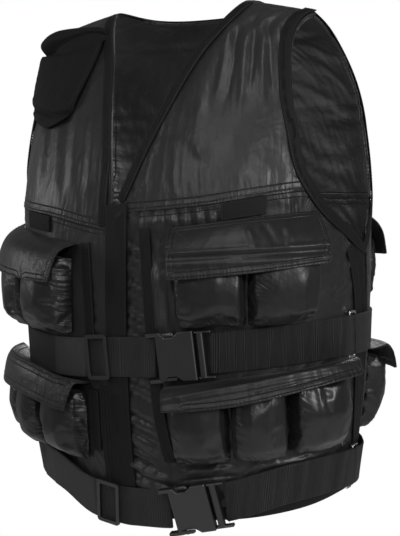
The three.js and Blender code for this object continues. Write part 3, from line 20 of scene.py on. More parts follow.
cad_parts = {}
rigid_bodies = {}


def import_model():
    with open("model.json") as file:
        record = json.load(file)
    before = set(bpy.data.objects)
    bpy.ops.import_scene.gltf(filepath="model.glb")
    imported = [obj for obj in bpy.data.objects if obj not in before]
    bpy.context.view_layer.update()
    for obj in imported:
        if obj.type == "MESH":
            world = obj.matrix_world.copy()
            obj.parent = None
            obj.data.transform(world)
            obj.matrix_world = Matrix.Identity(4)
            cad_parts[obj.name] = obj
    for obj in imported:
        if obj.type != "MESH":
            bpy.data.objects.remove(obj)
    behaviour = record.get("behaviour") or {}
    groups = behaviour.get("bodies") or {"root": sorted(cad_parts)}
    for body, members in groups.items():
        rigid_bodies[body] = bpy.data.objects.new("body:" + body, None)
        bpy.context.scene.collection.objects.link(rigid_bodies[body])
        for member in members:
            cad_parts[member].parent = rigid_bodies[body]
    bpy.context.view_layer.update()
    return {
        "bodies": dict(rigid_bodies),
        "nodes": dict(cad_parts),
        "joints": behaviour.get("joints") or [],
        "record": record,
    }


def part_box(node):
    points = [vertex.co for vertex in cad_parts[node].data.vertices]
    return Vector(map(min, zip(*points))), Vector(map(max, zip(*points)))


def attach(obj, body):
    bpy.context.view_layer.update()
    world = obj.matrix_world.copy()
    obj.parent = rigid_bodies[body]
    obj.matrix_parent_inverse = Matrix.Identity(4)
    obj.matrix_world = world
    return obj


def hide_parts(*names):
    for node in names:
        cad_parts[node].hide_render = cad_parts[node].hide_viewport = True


LOG = logging.getLogger("vest")
MM = 0.001
SHARP_ANGLE = math.radians(62)
WELD = 0.02 * MM
FACING = 0.45
SEAM_ROWS = (3.0, 9.0)
GROOVE_HALF_MM = 0.9
# how much darker the grooves of the sewn rows are painted: painted shade
GROOVE_PAINTED_SHADE = 800.0
RIB_PITCH_MM = 3.0
GRAIN_SCALE = 1600
ROUGHNESS_SPREAD = 0.12
FRAME: dict = {}
Array = np.ndarray


class Slot(Enum):
    """Material slots of the record."""

    SATIN = "satin"
    PADDING = "padding"
    WEBBING = "webbing"
    BINDING = "binding"
    MATTE_PAD = "matte_pad"
    PLASTIC = "plastic"


def ease(low: float, high: float, value: Array) -> Array:
    """Smooth step.

    Args:
        low: value at which the result is 0.
        high: value at which it is 1.
        value: the values.

    Returns:
        From 0 to 1, one for each value.
    """
    share = np.clip((value - low) / (high - low), 0.0, 1.0)
    return share * share * (3 - 2 * share)


class Noise:
    """Smooth gradient noise over two coordinates, the same on every run."""

    def __init__(self, seed: int) -> None:
        """Makes the tables of the noise.

        Args:
            seed: the same one gives the same noise.
        """
        random = np.random.default_rng(seed)
        turn = random.uniform(0, 2 * math.pi, 256)
        self.order = random.permutation(256)
        self.slopes = np.stack([np.cos(turn), np.sin(turn)], axis=1)

    def __call__(self, x: Array, y: Array) -> Array:
        """Noise at each pair of coordinates.

        Args:
            x: first coordinates, in cells of the noise.
            y: second coordinates.

        Returns:
            Values of about -1 to 1.
        """
        left, low = np.floor(x).astype(int), np.floor(y).astype(int)
        dx, dy = x - left, y - low

        def corner(i: int, j: int) -> Array:
            """Slope of one corner of the cell, times the way from it."""
            slope = self.slopes[self.order[(self.order[(left + i) % 256] + low + j) % 256]]
            return slope[..., 0] * (dx - i) + slope[..., 1] * (dy - j)

        u = dx**3 * (dx * (6 * dx - 15) + 10)
        v = dy**3 * (dy * (6 * dy - 15) + 10)
        lower = corner(0, 0) * (1 - u) + corner(1, 0) * u
        upper = corner(0, 1) * (1 - u) + corner(1, 1) * u
        return 1.5 * (lower * (1 - v) + upper * v)

    def ridges(self, x: Array, y: Array) -> Array:
        """Sharp crests of 1 on a floor of about 0."""
        return np.clip(1 - 2.2 * np.abs(self(x, y)), 0, 1) ** 1.5


@dataclass(frozen=True)
class PhotoView:
    """The camera of the photograph."""

    target: tuple[float, float, float] = (0.0221, 0.0155, -0.340)
    distance: float = 1.8
    azimuth: float = math.radians(35)
    elevation: float = math.radians(2.8)
    lens_mm: float = 90.8
    sensor_mm: float = 36.0
    width: int = 400
    height: int = 536

    def place(self) -> Array:
        """Where the camera stands."""
        level = math.cos(self.elevation)
        away = (level * math.sin(self.azimuth), -level * math.cos(self.azimuth), math.sin(self.elevation))
        return np.array(self.target) + self.distance * np.array(away)

    def project(self, points: Array) -> Array:
        """Pixels of the photograph at which points show.

        Args:
            points: places in metres, one in each row.

        Returns:
            Pixel coordinates, one pair in each row.
        """
        eye = self.place()
        ahead = (np.array(self.target) - eye) / self.distance
        right = np.cross(ahead, (0.0, 0.0, 1.0))
        right /= np.linalg.norm(right)
        up = np.cross(right, ahead)
        way = points - eye
        scale = self.height * self.lens_mm / self.sensor_mm / (way @ ahead)
        return np.stack([self.width / 2 + way @ right * scale, self.height / 2 - way @ up * scale], axis=1)

    def build(self) -> None:
        """Makes the camera and the scene looks through it."""
        data = bpy.data.cameras.new("photo_camera")
        data.lens, data.sensor_width, data.sensor_fit = self.lens_mm, self.sensor_mm, "AUTO"
        camera = as_object("photo_camera", data)
        aim(camera, self.place())
        bpy.context.scene.camera = camera


VIEW = PhotoView()


@dataclass(frozen=True)
class BodyForm:
    """The trunk inside the vest, as an ellipsoid's upper half on a cylinder."""

    centre_y: float = 0.038
    half_width: float = 0.235
    half_depth: float = 0.165
    shoulder_start: float = -0.26
    shoulder_height: float = 0.26
    mean_radius: float = 0.2

    def outward(self, points: Array) -> Array:
        """Unit directions away from the body.

        Args:
            points: places in metres, one in each row.

        Returns:
            One direction for each point.
        """
        way = np.stack([
            points[:, 0] / self.half_width**2,
            (points[:, 1] - self.centre_y) / self.half_depth**2,
            np.maximum(points[:, 2] - self.shoulder_start, 0) / self.shoulder_height**2,
        ], axis=1)
        return way / np.linalg.norm(way, axis=1, keepdims=True)

    def turn(self, points: Array, behind: bool = False) -> Array:
        """Angle round the body, 0 at the middle of the front, or of the back where behind is set."""
        x, y = points[:, 0], points[:, 1] - self.centre_y
        return np.arctan2(x, y) if behind else np.arctan2(x, -y)

    def round(self, points: Array) -> Array:
        """Rough way round the body from the middle of the front, to the wearer's left."""
        return self.turn(points) * self.mean_radius


BODY = BodyForm()


@dataclass(frozen=True)
class Fold:
    """A crest or, with a height below 0, a crease, along a line of the photograph's pixels."""

    line: tuple[tuple[float, float], ...]
    height: float
    width: float

    def lift(self, pixels: Array) -> Array:
        """How far the fold lifts each point.

        Args:
            pixels: where the points show in the photograph.

        Returns:
            Lifts in metres.
        """
        best = np.full(len(pixels), 1e9)
        place = np.zeros(len(pixels))
        count = len(self.line) - 1
        for k in range(count):
            start, end = np.array(self.line[k]), np.array(self.line[k + 1])
            way = end - start
            share = np.clip((pixels - start) @ way / (way @ way), 0, 1)
            away = np.linalg.norm(pixels - start - share[:, None] * way, axis=1)
            nearer = away < best
            best = np.where(nearer, away, best)
            place = np.where(nearer, (k + share) / count, place)
        ends = np.clip(np.sin(math.pi * np.clip(place, 0.03, 0.97)) * 1.6, 0, 1)
        return self.height * MM * ends * np.exp(-((best / self.width) ** 2))


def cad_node(name: str) -> bpy.types.Object:
    """The frame's object of a node."""
    return FRAME["nodes"][name]


def welded(node: str) -> bmesh.types.BMesh:
    """Draft of a node's solid with shared corners."""
    draft = bmesh.new()
    draft.from_mesh(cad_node(node).data)
    bmesh.ops.remove_doubles(draft, verts=draft.verts, dist=WELD)
    return draft


def as_mesh(name: str, draft: bmesh.types.BMesh) -> bpy.types.Mesh:
    """Mesh from a draft, which is freed."""
    mesh = bpy.data.meshes.new(name)
    draft.to_mesh(mesh)
    draft.free()
    return mesh


def as_object(name: str, data: bpy.types.ID) -> bpy.types.Object:
    """A linked object at the origin that shows a mesh, a curve, a lamp or a camera."""
    thing = bpy.data.objects.new(name, data)
    bpy.context.collection.objects.link(thing)
    return thing


def aim(thing: bpy.types.Object, place: Array | tuple[float, float, float]) -> None:
    """Puts a camera or lamp at a place, so that it looks at the vest."""
    thing.location = Vector(place)
    thing.rotation_euler = (Vector(VIEW.target) - thing.location).to_track_quat("-Z", "Y").to_euler()


def evaluated_mesh(thing: bpy.types.Object) -> bpy.types.Mesh:
    """A plain mesh of what the object's modifiers make."""
    graph = bpy.context.evaluated_depsgraph_get()
    graph.update()
    return bpy.data.meshes.new_from_object(thing.evaluated_get(graph), depsgraph=graph)


def divided(thing: bpy.types.Object, levels: int) -> bpy.types.Mesh:
    """Finely divided mesh of an object, which is removed."""
    division = thing.modifiers.new("divide", "SUBSURF")
    division.levels = division.render_levels = levels
    mesh = evaluated_mesh(thing)
    bpy.data.objects.remove(thing)
    return mesh


def coordinates(mesh: bpy.types.Mesh) -> Array:
    """The mesh's points, one in each row."""
    values = np.empty(3 * len(mesh.vertices))
    mesh.vertices.foreach_get("co", values)
    return values.reshape(-1, 3)


def facing(mesh: bpy.types.Mesh, away: Array) -> Array:
    """How far the mesh looks along a direction at each point.

    Args:
        mesh: the mesh.
        away: one direction for each of its points.

    Returns:
        From -1 to 1, one for each point.
    """
    values = np.empty(3 * len(mesh.vertices))
    mesh.vertices.foreach_get("normal", values)
    return np.einsum("ij,ij->i", values.reshape(-1, 3), away)


def set_coordinates(mesh: bpy.types.Mesh, points: Array) -> None:
    """Moves the mesh's points."""
    mesh.vertices.foreach_set("co", points.ravel())
    mesh.update()


def set_attributes(mesh: bpy.types.Mesh, seam: Array, along: Array) -> None:
    """Stores the ways to the seam and along it, which the materials read."""
    for label, values in (("seam", seam), ("along", along)):
        layer = mesh.attributes.new(label, "FLOAT", "POINT")
        layer.data.foreach_set("value", values.astype(np.float32))


def smooth_shading(mesh: bpy.types.Mesh) -> None:
    """Shades all faces smooth, with edges sharper than 50 degrees kept."""
    mesh.polygons.foreach_set("use_smooth", [True] * len(mesh.polygons))
    mesh.set_sharp_from_angle(angle=math.radians(50))


class Rim:
    """Loops of sharp edges round a solid's outer face."""

    def __init__(self, mesh: bmesh.types.BMesh) -> None:
        """Chains the sharp edges that have a face looking outwards on one side.

        Args:
            mesh: the solid.
        """
        links: dict[int, list[int]] = {}
        places = {v.index: np.array(v.co) for v in mesh.verts}
        for edge in mesh.edges:
            if len(edge.link_faces) != 2 or edge.calc_face_angle() < SHARP_ANGLE:
                continue
            middle = np.array([(edge.verts[0].co + edge.verts[1].co) / 2])
            away = BODY.outward(middle)[0]
            if max(np.dot(face.normal, away) for face in edge.link_faces) < FACING:
                continue
            a, b = (vert.index for vert in edge.verts)
            links.setdefault(a, []).append(b)
            links.setdefault(b, []).append(a)
        self.loops: list[Array] = []
        unseen = set(links)
        while unseen:
            start = min(unseen)
            chain, at = [start], start
            unseen.discard(start)
            while True:
                onward = [n for n in links[at] if n in unseen]
                if not onward:
                    break
                at = onward[0]
                unseen.discard(at)
                chain.append(at)
            if len(chain) > 3:
                closed = chain + [chain[0]] if chain[0] in links[chain[-1]] else chain
                self.loops.append(np.array([places[k] for k in closed]))

    def measure(self, points: Array) -> tuple[Array, Array]:
        """Measures the way from each point to the rim.

        Args:
            points: places in metres, one in each row.

        Returns:
            Distance to the nearest rim, and the place along that rim, in metres.
        """
        best = np.full(len(points), 1e9)
        along = np.zeros(len(points))
        for loop in self.loops:
            run = 0.0
            for start, end in zip(loop[:-1], loop[1:]):
                way = end - start
                length = float(np.linalg.norm(way))
                if length < 1e-7:
                    continue
                share = np.clip((points - start) @ way / length**2, 0, 1)
                away = np.linalg.norm(points - start - share[:, None] * way, axis=1)
                nearer = away < best
                best = np.where(nearer, away, best)
                along = np.where(nearer, run + share * length, along)
                run += length
        return best, along


class Cloth:
    """A finely divided copy of a node that folds and wrinkles can move."""

    def __init__(self, node: str, levels: int, creased: float = 0.9) -> None:
        """Copies, joins and divides the node's mesh.

        Args:
            node: name of the CAD node.
            levels: how often each face is divided in four.
            creased: how sharp the solid's edges stay, from 0 to 1.
        """
        self.node = node
        coarse = welded(node)
        bmesh.ops.join_triangles(
            coarse, faces=coarse.faces, angle_face_threshold=math.radians(50),
            angle_shape_threshold=math.radians(60),
        )
        crease = coarse.edges.layers.float.new("crease_edge")
        for edge in coarse.edges:
            if len(edge.link_faces) == 2 and edge.calc_face_angle() > SHARP_ANGLE:
                edge[crease] = creased
        self.rim = Rim(coarse)
        self.area = sum(face.calc_area() for face in coarse.faces) / 2
        self.mesh = divided(as_object(node + "_rough", as_mesh(node + "_rough", coarse)), levels)
        self.mesh.name = node + "_cloth"
        self.points = coordinates(self.mesh)
        self.away = BODY.outward(self.points)
        self.pixels = VIEW.project(self.points)
        self.edge, self.along = self.rim.measure(self.points)
        self.round = BODY.round(self.points)
        self.high = self.points[:, 2]

    def outer(self) -> Array:
        """1 on the outer face and its edge, 0 on the inner face."""
        return ease(-0.2, 0.3, facing(self.mesh, self.away))

    def tree(self) -> BVHTree:
        """The faces, for finding the place nearest to a point."""
        return BVHTree.FromPolygons(self.points.tolist(), [tuple(p.vertices) for p in self.mesh.polygons])

    def lift(self, amount: Array) -> None:
        """Moves every point outwards by its amount, in metres."""
        self.points = self.points + self.away * np.asarray(amount)[:, None]

    def fold(self, folds: list[Fold], all_round: bool = False) -> None:
        """Adds folds.

        Args:
            folds: to add.
            all_round: on all sides, not only on the side that the photograph shows.
        """
        seen = ease(0.05, 0.35, self.away @ (VIEW.place() - np.array(VIEW.target)) / VIEW.distance)
        if all_round:
            seen = np.ones(len(self.points))
        self.lift(seen * sum((one.lift(self.pixels) for one in folds), np.zeros(len(self.points))))

    def pucker(self, seed: int, height: float, pitch: float, reach: float, upright: bool = False) -> None:
        """Small gathers beside the rim.

        Args:
            seed: of the noise.
            height: of the gathers, in mm.
            pitch: from crest to crest, in mm.
            reach: how far they run into the cloth, in mm.
            upright: whether they follow upright edges too.
        """
        noise = Noise(seed)
        fade = np.exp(-self.edge / (reach * MM)) * ease(0.0, 2.0 * MM, self.edge)
        across = noise(self.round / (pitch * MM), self.high / (6 * pitch * MM))
        if upright:
            across = across + noise(self.round / (6 * pitch * MM) + 40, self.high / (pitch * MM))
        self.lift(height * MM * fade * across)

    def wrinkle(self, seed: int, height: float, long: float, short: float, lean: float) -> None:
        """Soft crests all over the cloth.

        Args:
            seed: of the noise.
            height: of the crests, in mm.
            long: their length, in mm.
            short: the way from one to the next, in mm.
            lean: of the crests from upright, in degrees.
        """
        noise = Noise(seed)
        turn = math.radians(lean)
        up = self.high * math.cos(turn) + self.round * math.sin(turn)
        side = -self.high * math.sin(turn) + self.round * math.cos(turn)
        warp = 0.35 * noise(self.round / 0.07 + 9, self.high / 0.07)
        crests = noise.ridges(side / (short * MM) + warp, up / (long * MM))
        self.lift(height * MM * (crests - 0.25) * ease(0, 12 * MM, self.edge))

    def lap(self, down: float = 2.6, out: float = 1.0, reach: float = 14.0) -> None:
        """Lays the lower edge over the cloth below it.

        Args:
            down: how far the edge is let down, in mm.
            out: how far it comes forward, in mm.
            reach: how far up it starts, in mm.
        """
        places = np.round(self.round / (6 * MM)).astype(int)
        lowest = {place: self.high[places == place].min() for place in np.unique(places)}
        marks = np.array(sorted(lowest))
        foot = self.high - np.interp(self.round / (6 * MM), marks, [lowest[place] for place in marks])
        share = ease(reach * MM, 0, foot)
        self.points = self.points + np.outer(share * -down * MM, (0, 0, 1))
        self.lift(share * out * MM)

    def tuck(self, aside: float = 6.0, under: float = 3.4) -> None:
        """Widens a gusset, so that its upright edges lie under the panels beside it.

        Args:
            aside: how far each edge goes, in mm.
            under: how far it goes inwards, in mm.
        """
        rows = self.high / (12 * MM)
        places = np.round(rows).astype(int)
        marks = np.unique(places)
        start = np.interp(rows, marks, [self.round[places == mark].min() for mark in marks])
        end = np.interp(rows, marks, [self.round[places == mark].max() for mark in marks])
        share = (2 * self.round - start - end) / (end - start)
        edge = ease(0.35, 0.95, np.abs(share))
        turn = BODY.turn(self.points)
        tangent = np.stack([np.cos(turn), np.sin(turn), 0 * turn], axis=1)
        self.points = self.points + tangent * (np.sign(share) * edge * aside * MM)[:, None]
        self.lift(-edge * under * MM)
        set_coordinates(self.mesh, self.points)
        self.area = sum(face.area for face in self.mesh.polygons) / 2

    def close_armhole(self, reach: float = 21.0, height: float = -0.145, spread: float = 0.1) -> None:
        """Brings the rear edge of the right armhole forward, as the photograph shows it.

        Args:
            reach: how far, in mm.
            height: of the middle of the stretch that moves.
            spread: half the height of that stretch.
        """
        x, y = self.points[:, 0], self.points[:, 1]
        share = ease(-0.09, -0.16, x) * ease(0.02, 0.08, y) * np.exp(-(((self.high - height) / spread) ** 2))
        self.points = self.points + np.outer(share * reach * MM, (-0.72, -0.69, 0))

    def level_line(self, height: float, widest: float, lift: float = 0.3) -> Array:
        """Line on the inner face at one height of the back.

        Args:
            height: of the line.
            widest: how far round from the middle of the back it runs, in degrees.
            lift: how far off the cloth, in mm.

        Returns:
            The line's points.
        """
        tree = self.tree()
        line = []
        for turn in np.radians(np.linspace(-widest, widest, 90)):
            way = Vector((math.sin(turn), math.cos(turn), 0))
            spot = tree.ray_cast(Vector((0, BODY.centre_y, height)), way)[0]
            if spot is not None:
                line.append(np.array(spot - way * lift * MM))
        return np.array(line)

    def inset(self, inset: float, lift: float) -> list[Array]:
        """Lines on the outer face that run inside the rim.

        Args:
            inset: how far inside, in mm.
            lift: how far above the cloth, in mm.

        Returns:
            Closed lines, one for each loop of the rim.
        """
        set_coordinates(self.mesh, self.points)
        tree = self.tree()
        lines = []
        for loop in self.rim.loops:
            length = np.linalg.norm(np.diff(loop, axis=0), axis=1)
            run = np.concatenate([[0], np.cumsum(length)])
            marks = np.linspace(0, run[-1], max(8, int(run[-1] / (5 * MM))))
            dense = np.stack([np.interp(marks, run, loop[:, k]) for k in range(3)], axis=1)
            ahead = np.gradient(dense, axis=0)
            aside = np.cross(BODY.outward(dense), ahead)
            aside /= np.linalg.norm(aside, axis=1, keepdims=True) + 1e-9
            ways = []
            for side in (1, -1):
                tries = dense + side * aside * inset * MM
                hits = [tree.find_nearest(Vector(p)) for p in tries]
                ways.append((sum(hit[3] for hit in hits), tries))
            best = min(ways, key=lambda item: item[0])[1]
            line = []
            for place in best:
                spot, normal, _, _ = tree.find_nearest(Vector(place))
                line.append(np.array(spot) + np.array(normal) * lift * MM)
            lines.append(np.array(line))
        return lines

    def finish(self, name: str, look: bpy.types.Material, slot: Slot) -> bpy.types.Object:
        """Makes the object that stands for the node.

        Args:
            name: of the piece.
            look: its material.
            slot: the record's material slot.

        Returns:
            The object, riding on the body.
        """
        set_coordinates(self.mesh, self.points)
        smooth_shading(self.mesh)
        set_attributes(self.mesh, self.edge, self.along)
        return dress(as_object(name, self.mesh), look, slot, self.node)


def dress(piece: bpy.types.Object, look: bpy.types.Material, slot: Slot, *nodes: str) -> bpy.types.Object:
    """Gives a piece its material, puts it on the body and hides the nodes that it stands for.

    Args:
        piece: the piece.
        look: its material.
        slot: the record's material slot; not used.
        nodes: CAD nodes that it stands for, if any.

    Returns:
        The piece, riding on the body.
    """
    piece.data.materials.clear()
    piece.data.materials.append(look)
    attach(piece, "root")
    if nodes:
        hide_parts(*nodes)
    LOG.info("%s: %d faces", piece.name, len(piece.data.polygons))
    return piece


class GroupBuilder:
    """Short ways to add nodes to a tree."""

    def __init__(self, tree: bpy.types.NodeTree) -> None:
        """Keeps the tree."""
        self.tree = tree

    def put(self, node: bpy.types.Node, **settings: object) -> bpy.types.Node:
        """Sets what a node holds.

        Args:
            node: the node.
            settings: its own settings, or values by socket name with _ for each space.

        Returns:
            The node.
        """
        for key, value in settings.items():
            if hasattr(node, key):
                setattr(node, key, value)
            else:
                node.inputs[key.replace("_", " ")].default_value = value
        return node

    def add(self, kind: str, **settings: object) -> bpy.types.Node:
        """A new node of a kind, with its settings and values."""
        return self.put(self.tree.nodes.new(kind), **settings)

    def link(self, start: bpy.types.NodeSocket, end: bpy.types.NodeSocket) -> None:
        """Joins two sockets."""
        self.tree.links.new(start, end)

    def math(self, operation: str, *values: object) -> bpy.types.NodeSocket:
        """Result of one operation.

        Args:
            operation: its name.
            values: sockets or numbers that go in.

        Returns:
            The socket with the result.
        """
        node = self.add("ShaderNodeMath", operation=operation)
        for place, value in enumerate(values):
            if isinstance(value, (int, float)):
                node.inputs[place].default_value = value
            else:
                self.link(value, node.inputs[place])
        return node.outputs[0]

    def noise(self, where: bpy.types.NodeSocket, scale: float, detail: float = 3) -> bpy.types.NodeSocket:
        """Noise at a place.

        Args:
            where: socket with the place.
            scale: cells in a metre.
            detail: number of finer layers.

        Returns:
            The socket with the noise, from 0 to 1.
        """
        node = self.add("ShaderNodeTexNoise", Scale=scale, Detail=detail)
        self.link(where, node.inputs["Vector"])
        return node.outputs["Fac"]


def new_group(name: str, inputs: dict[str, float], outputs: tuple[str, ...]) -> bpy.types.NodeTree:
    """An empty shader group with numbers going in and out.

    Args:
        name: of the group.
        inputs: names and values of what goes in.
        outputs: names of what comes out.

    Returns:
        The group.
    """
    group = bpy.data.node_groups.new(name, "ShaderNodeTree")
    for label, value in inputs.items():
        socket = group.interface.new_socket(label, in_out="INPUT", socket_type="NodeSocketFloat")
        socket.default_value = value
    for label in outputs:
        group.interface.new_socket(label, in_out="OUTPUT", socket_type="NodeSocketFloat")
    return group


def crumple_group() -> bpy.types.NodeTree:
    """Fine creases of thin cloth, with gathers beside its seams, and a tone that varies at random, with
    painted shade in the grooves of its sewn rows.
    """
    inputs = {"Crease": 1.0, "Gather": 1.0, "Gather Pitch": 0.004, "Streak": 0.0, "Groove": 0.0}
    group = new_group("crumple", inputs, ("Height", "Tone"))
    make = GroupBuilder(group)
    inside, outside = make.add("NodeGroupInput"), make.add("NodeGroupOutput")
    where = make.add("ShaderNodeTexCoord").outputs["Object"]
    seam = make.add("ShaderNodeAttribute", attribute_name="seam").outputs["Fac"]
    along = make.add("ShaderNodeAttribute", attribute_name="along").outputs["Fac"]
    broad = make.noise(where, 22, 3)
    fine = make.noise(where, 90, 2)
    sharp = make.math("ABSOLUTE", make.math("SUBTRACT", broad, 0.5))
    crease = make.math("MULTIPLY", make.math("SUBTRACT", 1.0, make.math("MULTIPLY", sharp, 3)), 0.7)
    crease = make.math("ADD", crease, make.math("MULTIPLY", fine, 0.3))
    crease = make.math("MULTIPLY", crease, inside.outputs["Crease"])
    place = make.add("ShaderNodeCombineXYZ")
    make.link(make.math("DIVIDE", along, inside.outputs["Gather Pitch"]), place.inputs["X"])
    make.link(make.math("MULTIPLY", seam, 30), place.inputs["Y"])
    gathers = make.noise(place.outputs[0], 1.0, 1)
    fade = make.math("POWER", 0.5, make.math("DIVIDE", seam, 0.006))
    gather = make.math("MULTIPLY", make.math("MULTIPLY", gathers, fade), inside.outputs["Gather"])
    stretch = make.add("ShaderNodeMapping")
    stretch.inputs["Scale"].default_value = (1, 1, 0.1)
    make.link(where, stretch.inputs["Vector"])
    threads = make.noise(stretch.outputs[0], 260, 2)
    streak = make.math("MULTIPLY", threads, inside.outputs["Streak"])
    rows = []
    for inset in SEAM_ROWS:
        away = make.math("ABSOLUTE", make.math("SUBTRACT", seam, inset * MM))
        share = make.math("MINIMUM", make.math("DIVIDE", away, GROOVE_HALF_MM * MM), 1.0)
        rows.append(make.math("SUBTRACT", 1.0, share))
    groove = make.math("MULTIPLY", make.math("MAXIMUM", *rows), inside.outputs["Groove"])
    total = make.math("SUBTRACT", make.math("ADD", make.math("ADD", crease, gather), streak), groove)
    make.link(total, outside.inputs["Height"])
    tone = make.math("MULTIPLY", make.noise(where, 9, 4), 0.6)
    tone = make.math("ADD", tone, make.math("MULTIPLY", threads, 0.4))
    # Painted shade: the grooves of the sewn rows are painted darker.
    tone = make.math("SUBTRACT", tone, make.math("MULTIPLY", groove, GROOVE_PAINTED_SHADE))
    make.link(tone, outside.inputs["Tone"])
    return group


def weave_group() -> bpy.types.NodeTree:
    """Warp and weft threads, or ribs across a tape, along its attributes."""
    group = new_group("weave", {"Rib Pitch": 0.002, "Thread Pitch": 0.0007}, ("Height", "Rib"))
    make = GroupBuilder(group)
    inside, outside = make.add("NodeGroupInput"), make.add("NodeGroupOutput")
    along = make.add("ShaderNodeAttribute", attribute_name="along").outputs["Fac"]
    where = make.add("ShaderNodeTexCoord").outputs["Object"]
    full = 2 * math.pi
    step = make.math("DIVIDE", along, inside.outputs["Rib Pitch"])
    rib = make.math("MULTIPLY_ADD", make.math("SINE", make.math("MULTIPLY", step, full)), 0.5, 0.5)
    parts = make.add("ShaderNodeSeparateXYZ")
    make.link(where, parts.inputs[0])
    waves = []
    for axis in ("X", "Z"):
        turns = make.math("DIVIDE", parts.outputs[axis], inside.outputs["Thread Pitch"])
        waves.append(make.math("SINE", make.math("MULTIPLY", turns, full)))
    threads = make.math("MULTIPLY", waves[0], waves[1])
    make.link(make.math("ADD", rib, make.math("MULTIPLY", threads, 0.25)), outside.inputs["Height"])
    make.link(rib, outside.inputs["Rib"])
    return group


@dataclass(frozen=True)
class Finish:
    """One finish, from its colours, gloss and relief."""

    name: str
    dark: tuple[float, float, float]
    light: tuple[float, float, float]
    roughness: float
    sheen: float = 0.0
    metallic: float = 0.0
    crease_mm: float = 0.0
    gather_mm: float = 0.0
    gather_pitch_mm: float = 4.0
    rib_pitch_mm: float = 0.0
    rib_mm: float = 0.0
    specular: float = 0.5
    grain_mm: float = 0.0
    streak_mm: float = 0.0
    groove_mm: float = 0.0

    def build(self, groups: dict[str, bpy.types.NodeTree]) -> bpy.types.Material:
        """Makes the material.

        Args:
            groups: the shader groups by name.

        Returns:
            The material.
        """
        look = bpy.data.materials.new(self.name)
        look.use_nodes = True
        tree = look.node_tree
        make = GroupBuilder(tree)
        shader = tree.nodes["Principled BSDF"]
        make.put(shader, Metallic=self.metallic, Specular_IOR_Level=self.specular)
        make.put(shader, Sheen_Weight=self.sheen, Sheen_Roughness=0.4)
        crumple = make.add(
            "ShaderNodeGroup", node_tree=groups["crumple"], Crease=self.crease_mm * MM,
            Gather=self.gather_mm * MM, Gather_Pitch=self.gather_pitch_mm * MM,
            Streak=self.streak_mm * MM, Groove=self.groove_mm * MM,
        )
        height, tone = crumple.outputs["Height"], crumple.outputs["Tone"]
        if self.rib_pitch_mm:
            weave = make.add("ShaderNodeGroup", node_tree=groups["weave"], Rib_Pitch=self.rib_pitch_mm * MM)
            relief = make.math("MULTIPLY", weave.outputs["Height"], self.rib_mm * MM)
            height = make.math("ADD", height, relief)
            # Painted light: the ribs' crests are painted lighter as a painted highlight and their troughs
            # darker as painted shade.
            shade = make.math("MULTIPLY", weave.outputs["Rib"], 0.5)
            tone = make.math("ADD", make.math("MULTIPLY", tone, 0.5), shade)
        if self.grain_mm:
            where = make.add("ShaderNodeTexCoord").outputs["Object"]
            grain = make.noise(where, GRAIN_SCALE, 2)
            height = make.math("ADD", height, make.math("MULTIPLY", grain, self.grain_mm * MM))
        ramp = make.add("ShaderNodeValToRGB")
        ends = ((0.25, self.dark), (0.75, self.light))
        for element, (position, colour) in zip(ramp.color_ramp.elements, ends):
            element.position, element.color = position, (*colour, 1)
        make.link(tone, ramp.inputs[0])
        make.link(ramp.outputs[0], shader.inputs["Base Color"])
        smoothest = self.roughness - ROUGHNESS_SPREAD / 2
        make.link(make.math("MULTIPLY_ADD", tone, ROUGHNESS_SPREAD, smoothest), shader.inputs["Roughness"])
        bump = make.add("ShaderNodeBump", Strength=1.0, Distance=1.0)
        make.link(height, bump.inputs["Height"])
        make.link(bump.outputs[0], shader.inputs["Normal"])
        return look


def grey(value: float) -> tuple[float, float, float]:
    """A slightly cool grey."""
    return (value, value, 1.04 * value)


FINISHES = (
    Finish(
        "satin_cloth", grey(0.010), grey(0.024), 0.4, sheen=0.07, crease_mm=1.0, gather_mm=1.8,
        grain_mm=0.02, streak_mm=0.2, groove_mm=0.6,
    ),
    Finish(
        "pouch_satin", grey(0.007), grey(0.016), 0.36, sheen=0.06, crease_mm=0.8, gather_mm=1.8,
        grain_mm=0.02, streak_mm=0.15,
    ),
    # A darker copy of satin_cloth for the flaps: painted shade.
    Finish(
        "flap_satin", grey(0.006), grey(0.016), 0.42, sheen=0.05, crease_mm=1.0, gather_mm=1.8,
        grain_mm=0.02, streak_mm=0.2, specular=0.45, groove_mm=0.6,
    ),
    # Its dark and light greys are mostly the ribs' painted shade in the troughs and painted highlight on the
    # crests.
    Finish(
        "rib_webbing", grey(0.001), grey(0.055), 0.6, rib_pitch_mm=RIB_PITCH_MM, rib_mm=1.1,
        specular=0.4, grain_mm=0.05,
    ),
    Finish(
        "flat_webbing", grey(0.0025), grey(0.007), 0.66, crease_mm=0.3, rib_pitch_mm=1.1, rib_mm=0.15,
        specular=0.3,
    ),
    Finish(
        "binding_tape", grey(0.002), grey(0.0055), 0.66, crease_mm=0.4, rib_pitch_mm=1.4, rib_mm=0.15,
        specular=0.3,
    ),
    Finish(
        "pad_cloth", grey(0.0012), grey(0.0035), 0.75, crease_mm=0.6, rib_pitch_mm=1.2, rib_mm=0.1,
        specular=0.3,
    ),
    Finish("moulded_plastic", grey(0.009), grey(0.014), 0.38, specular=0.9, grain_mm=0.03),
    Finish("stitch_thread", grey(0.012), grey(0.02), 0.5, sheen=0.1, grain_mm=0.05),
    Finish("silver_wire", (0.62, 0.62, 0.63), (0.8, 0.8, 0.81), 0.22, metallic=1.0),
)


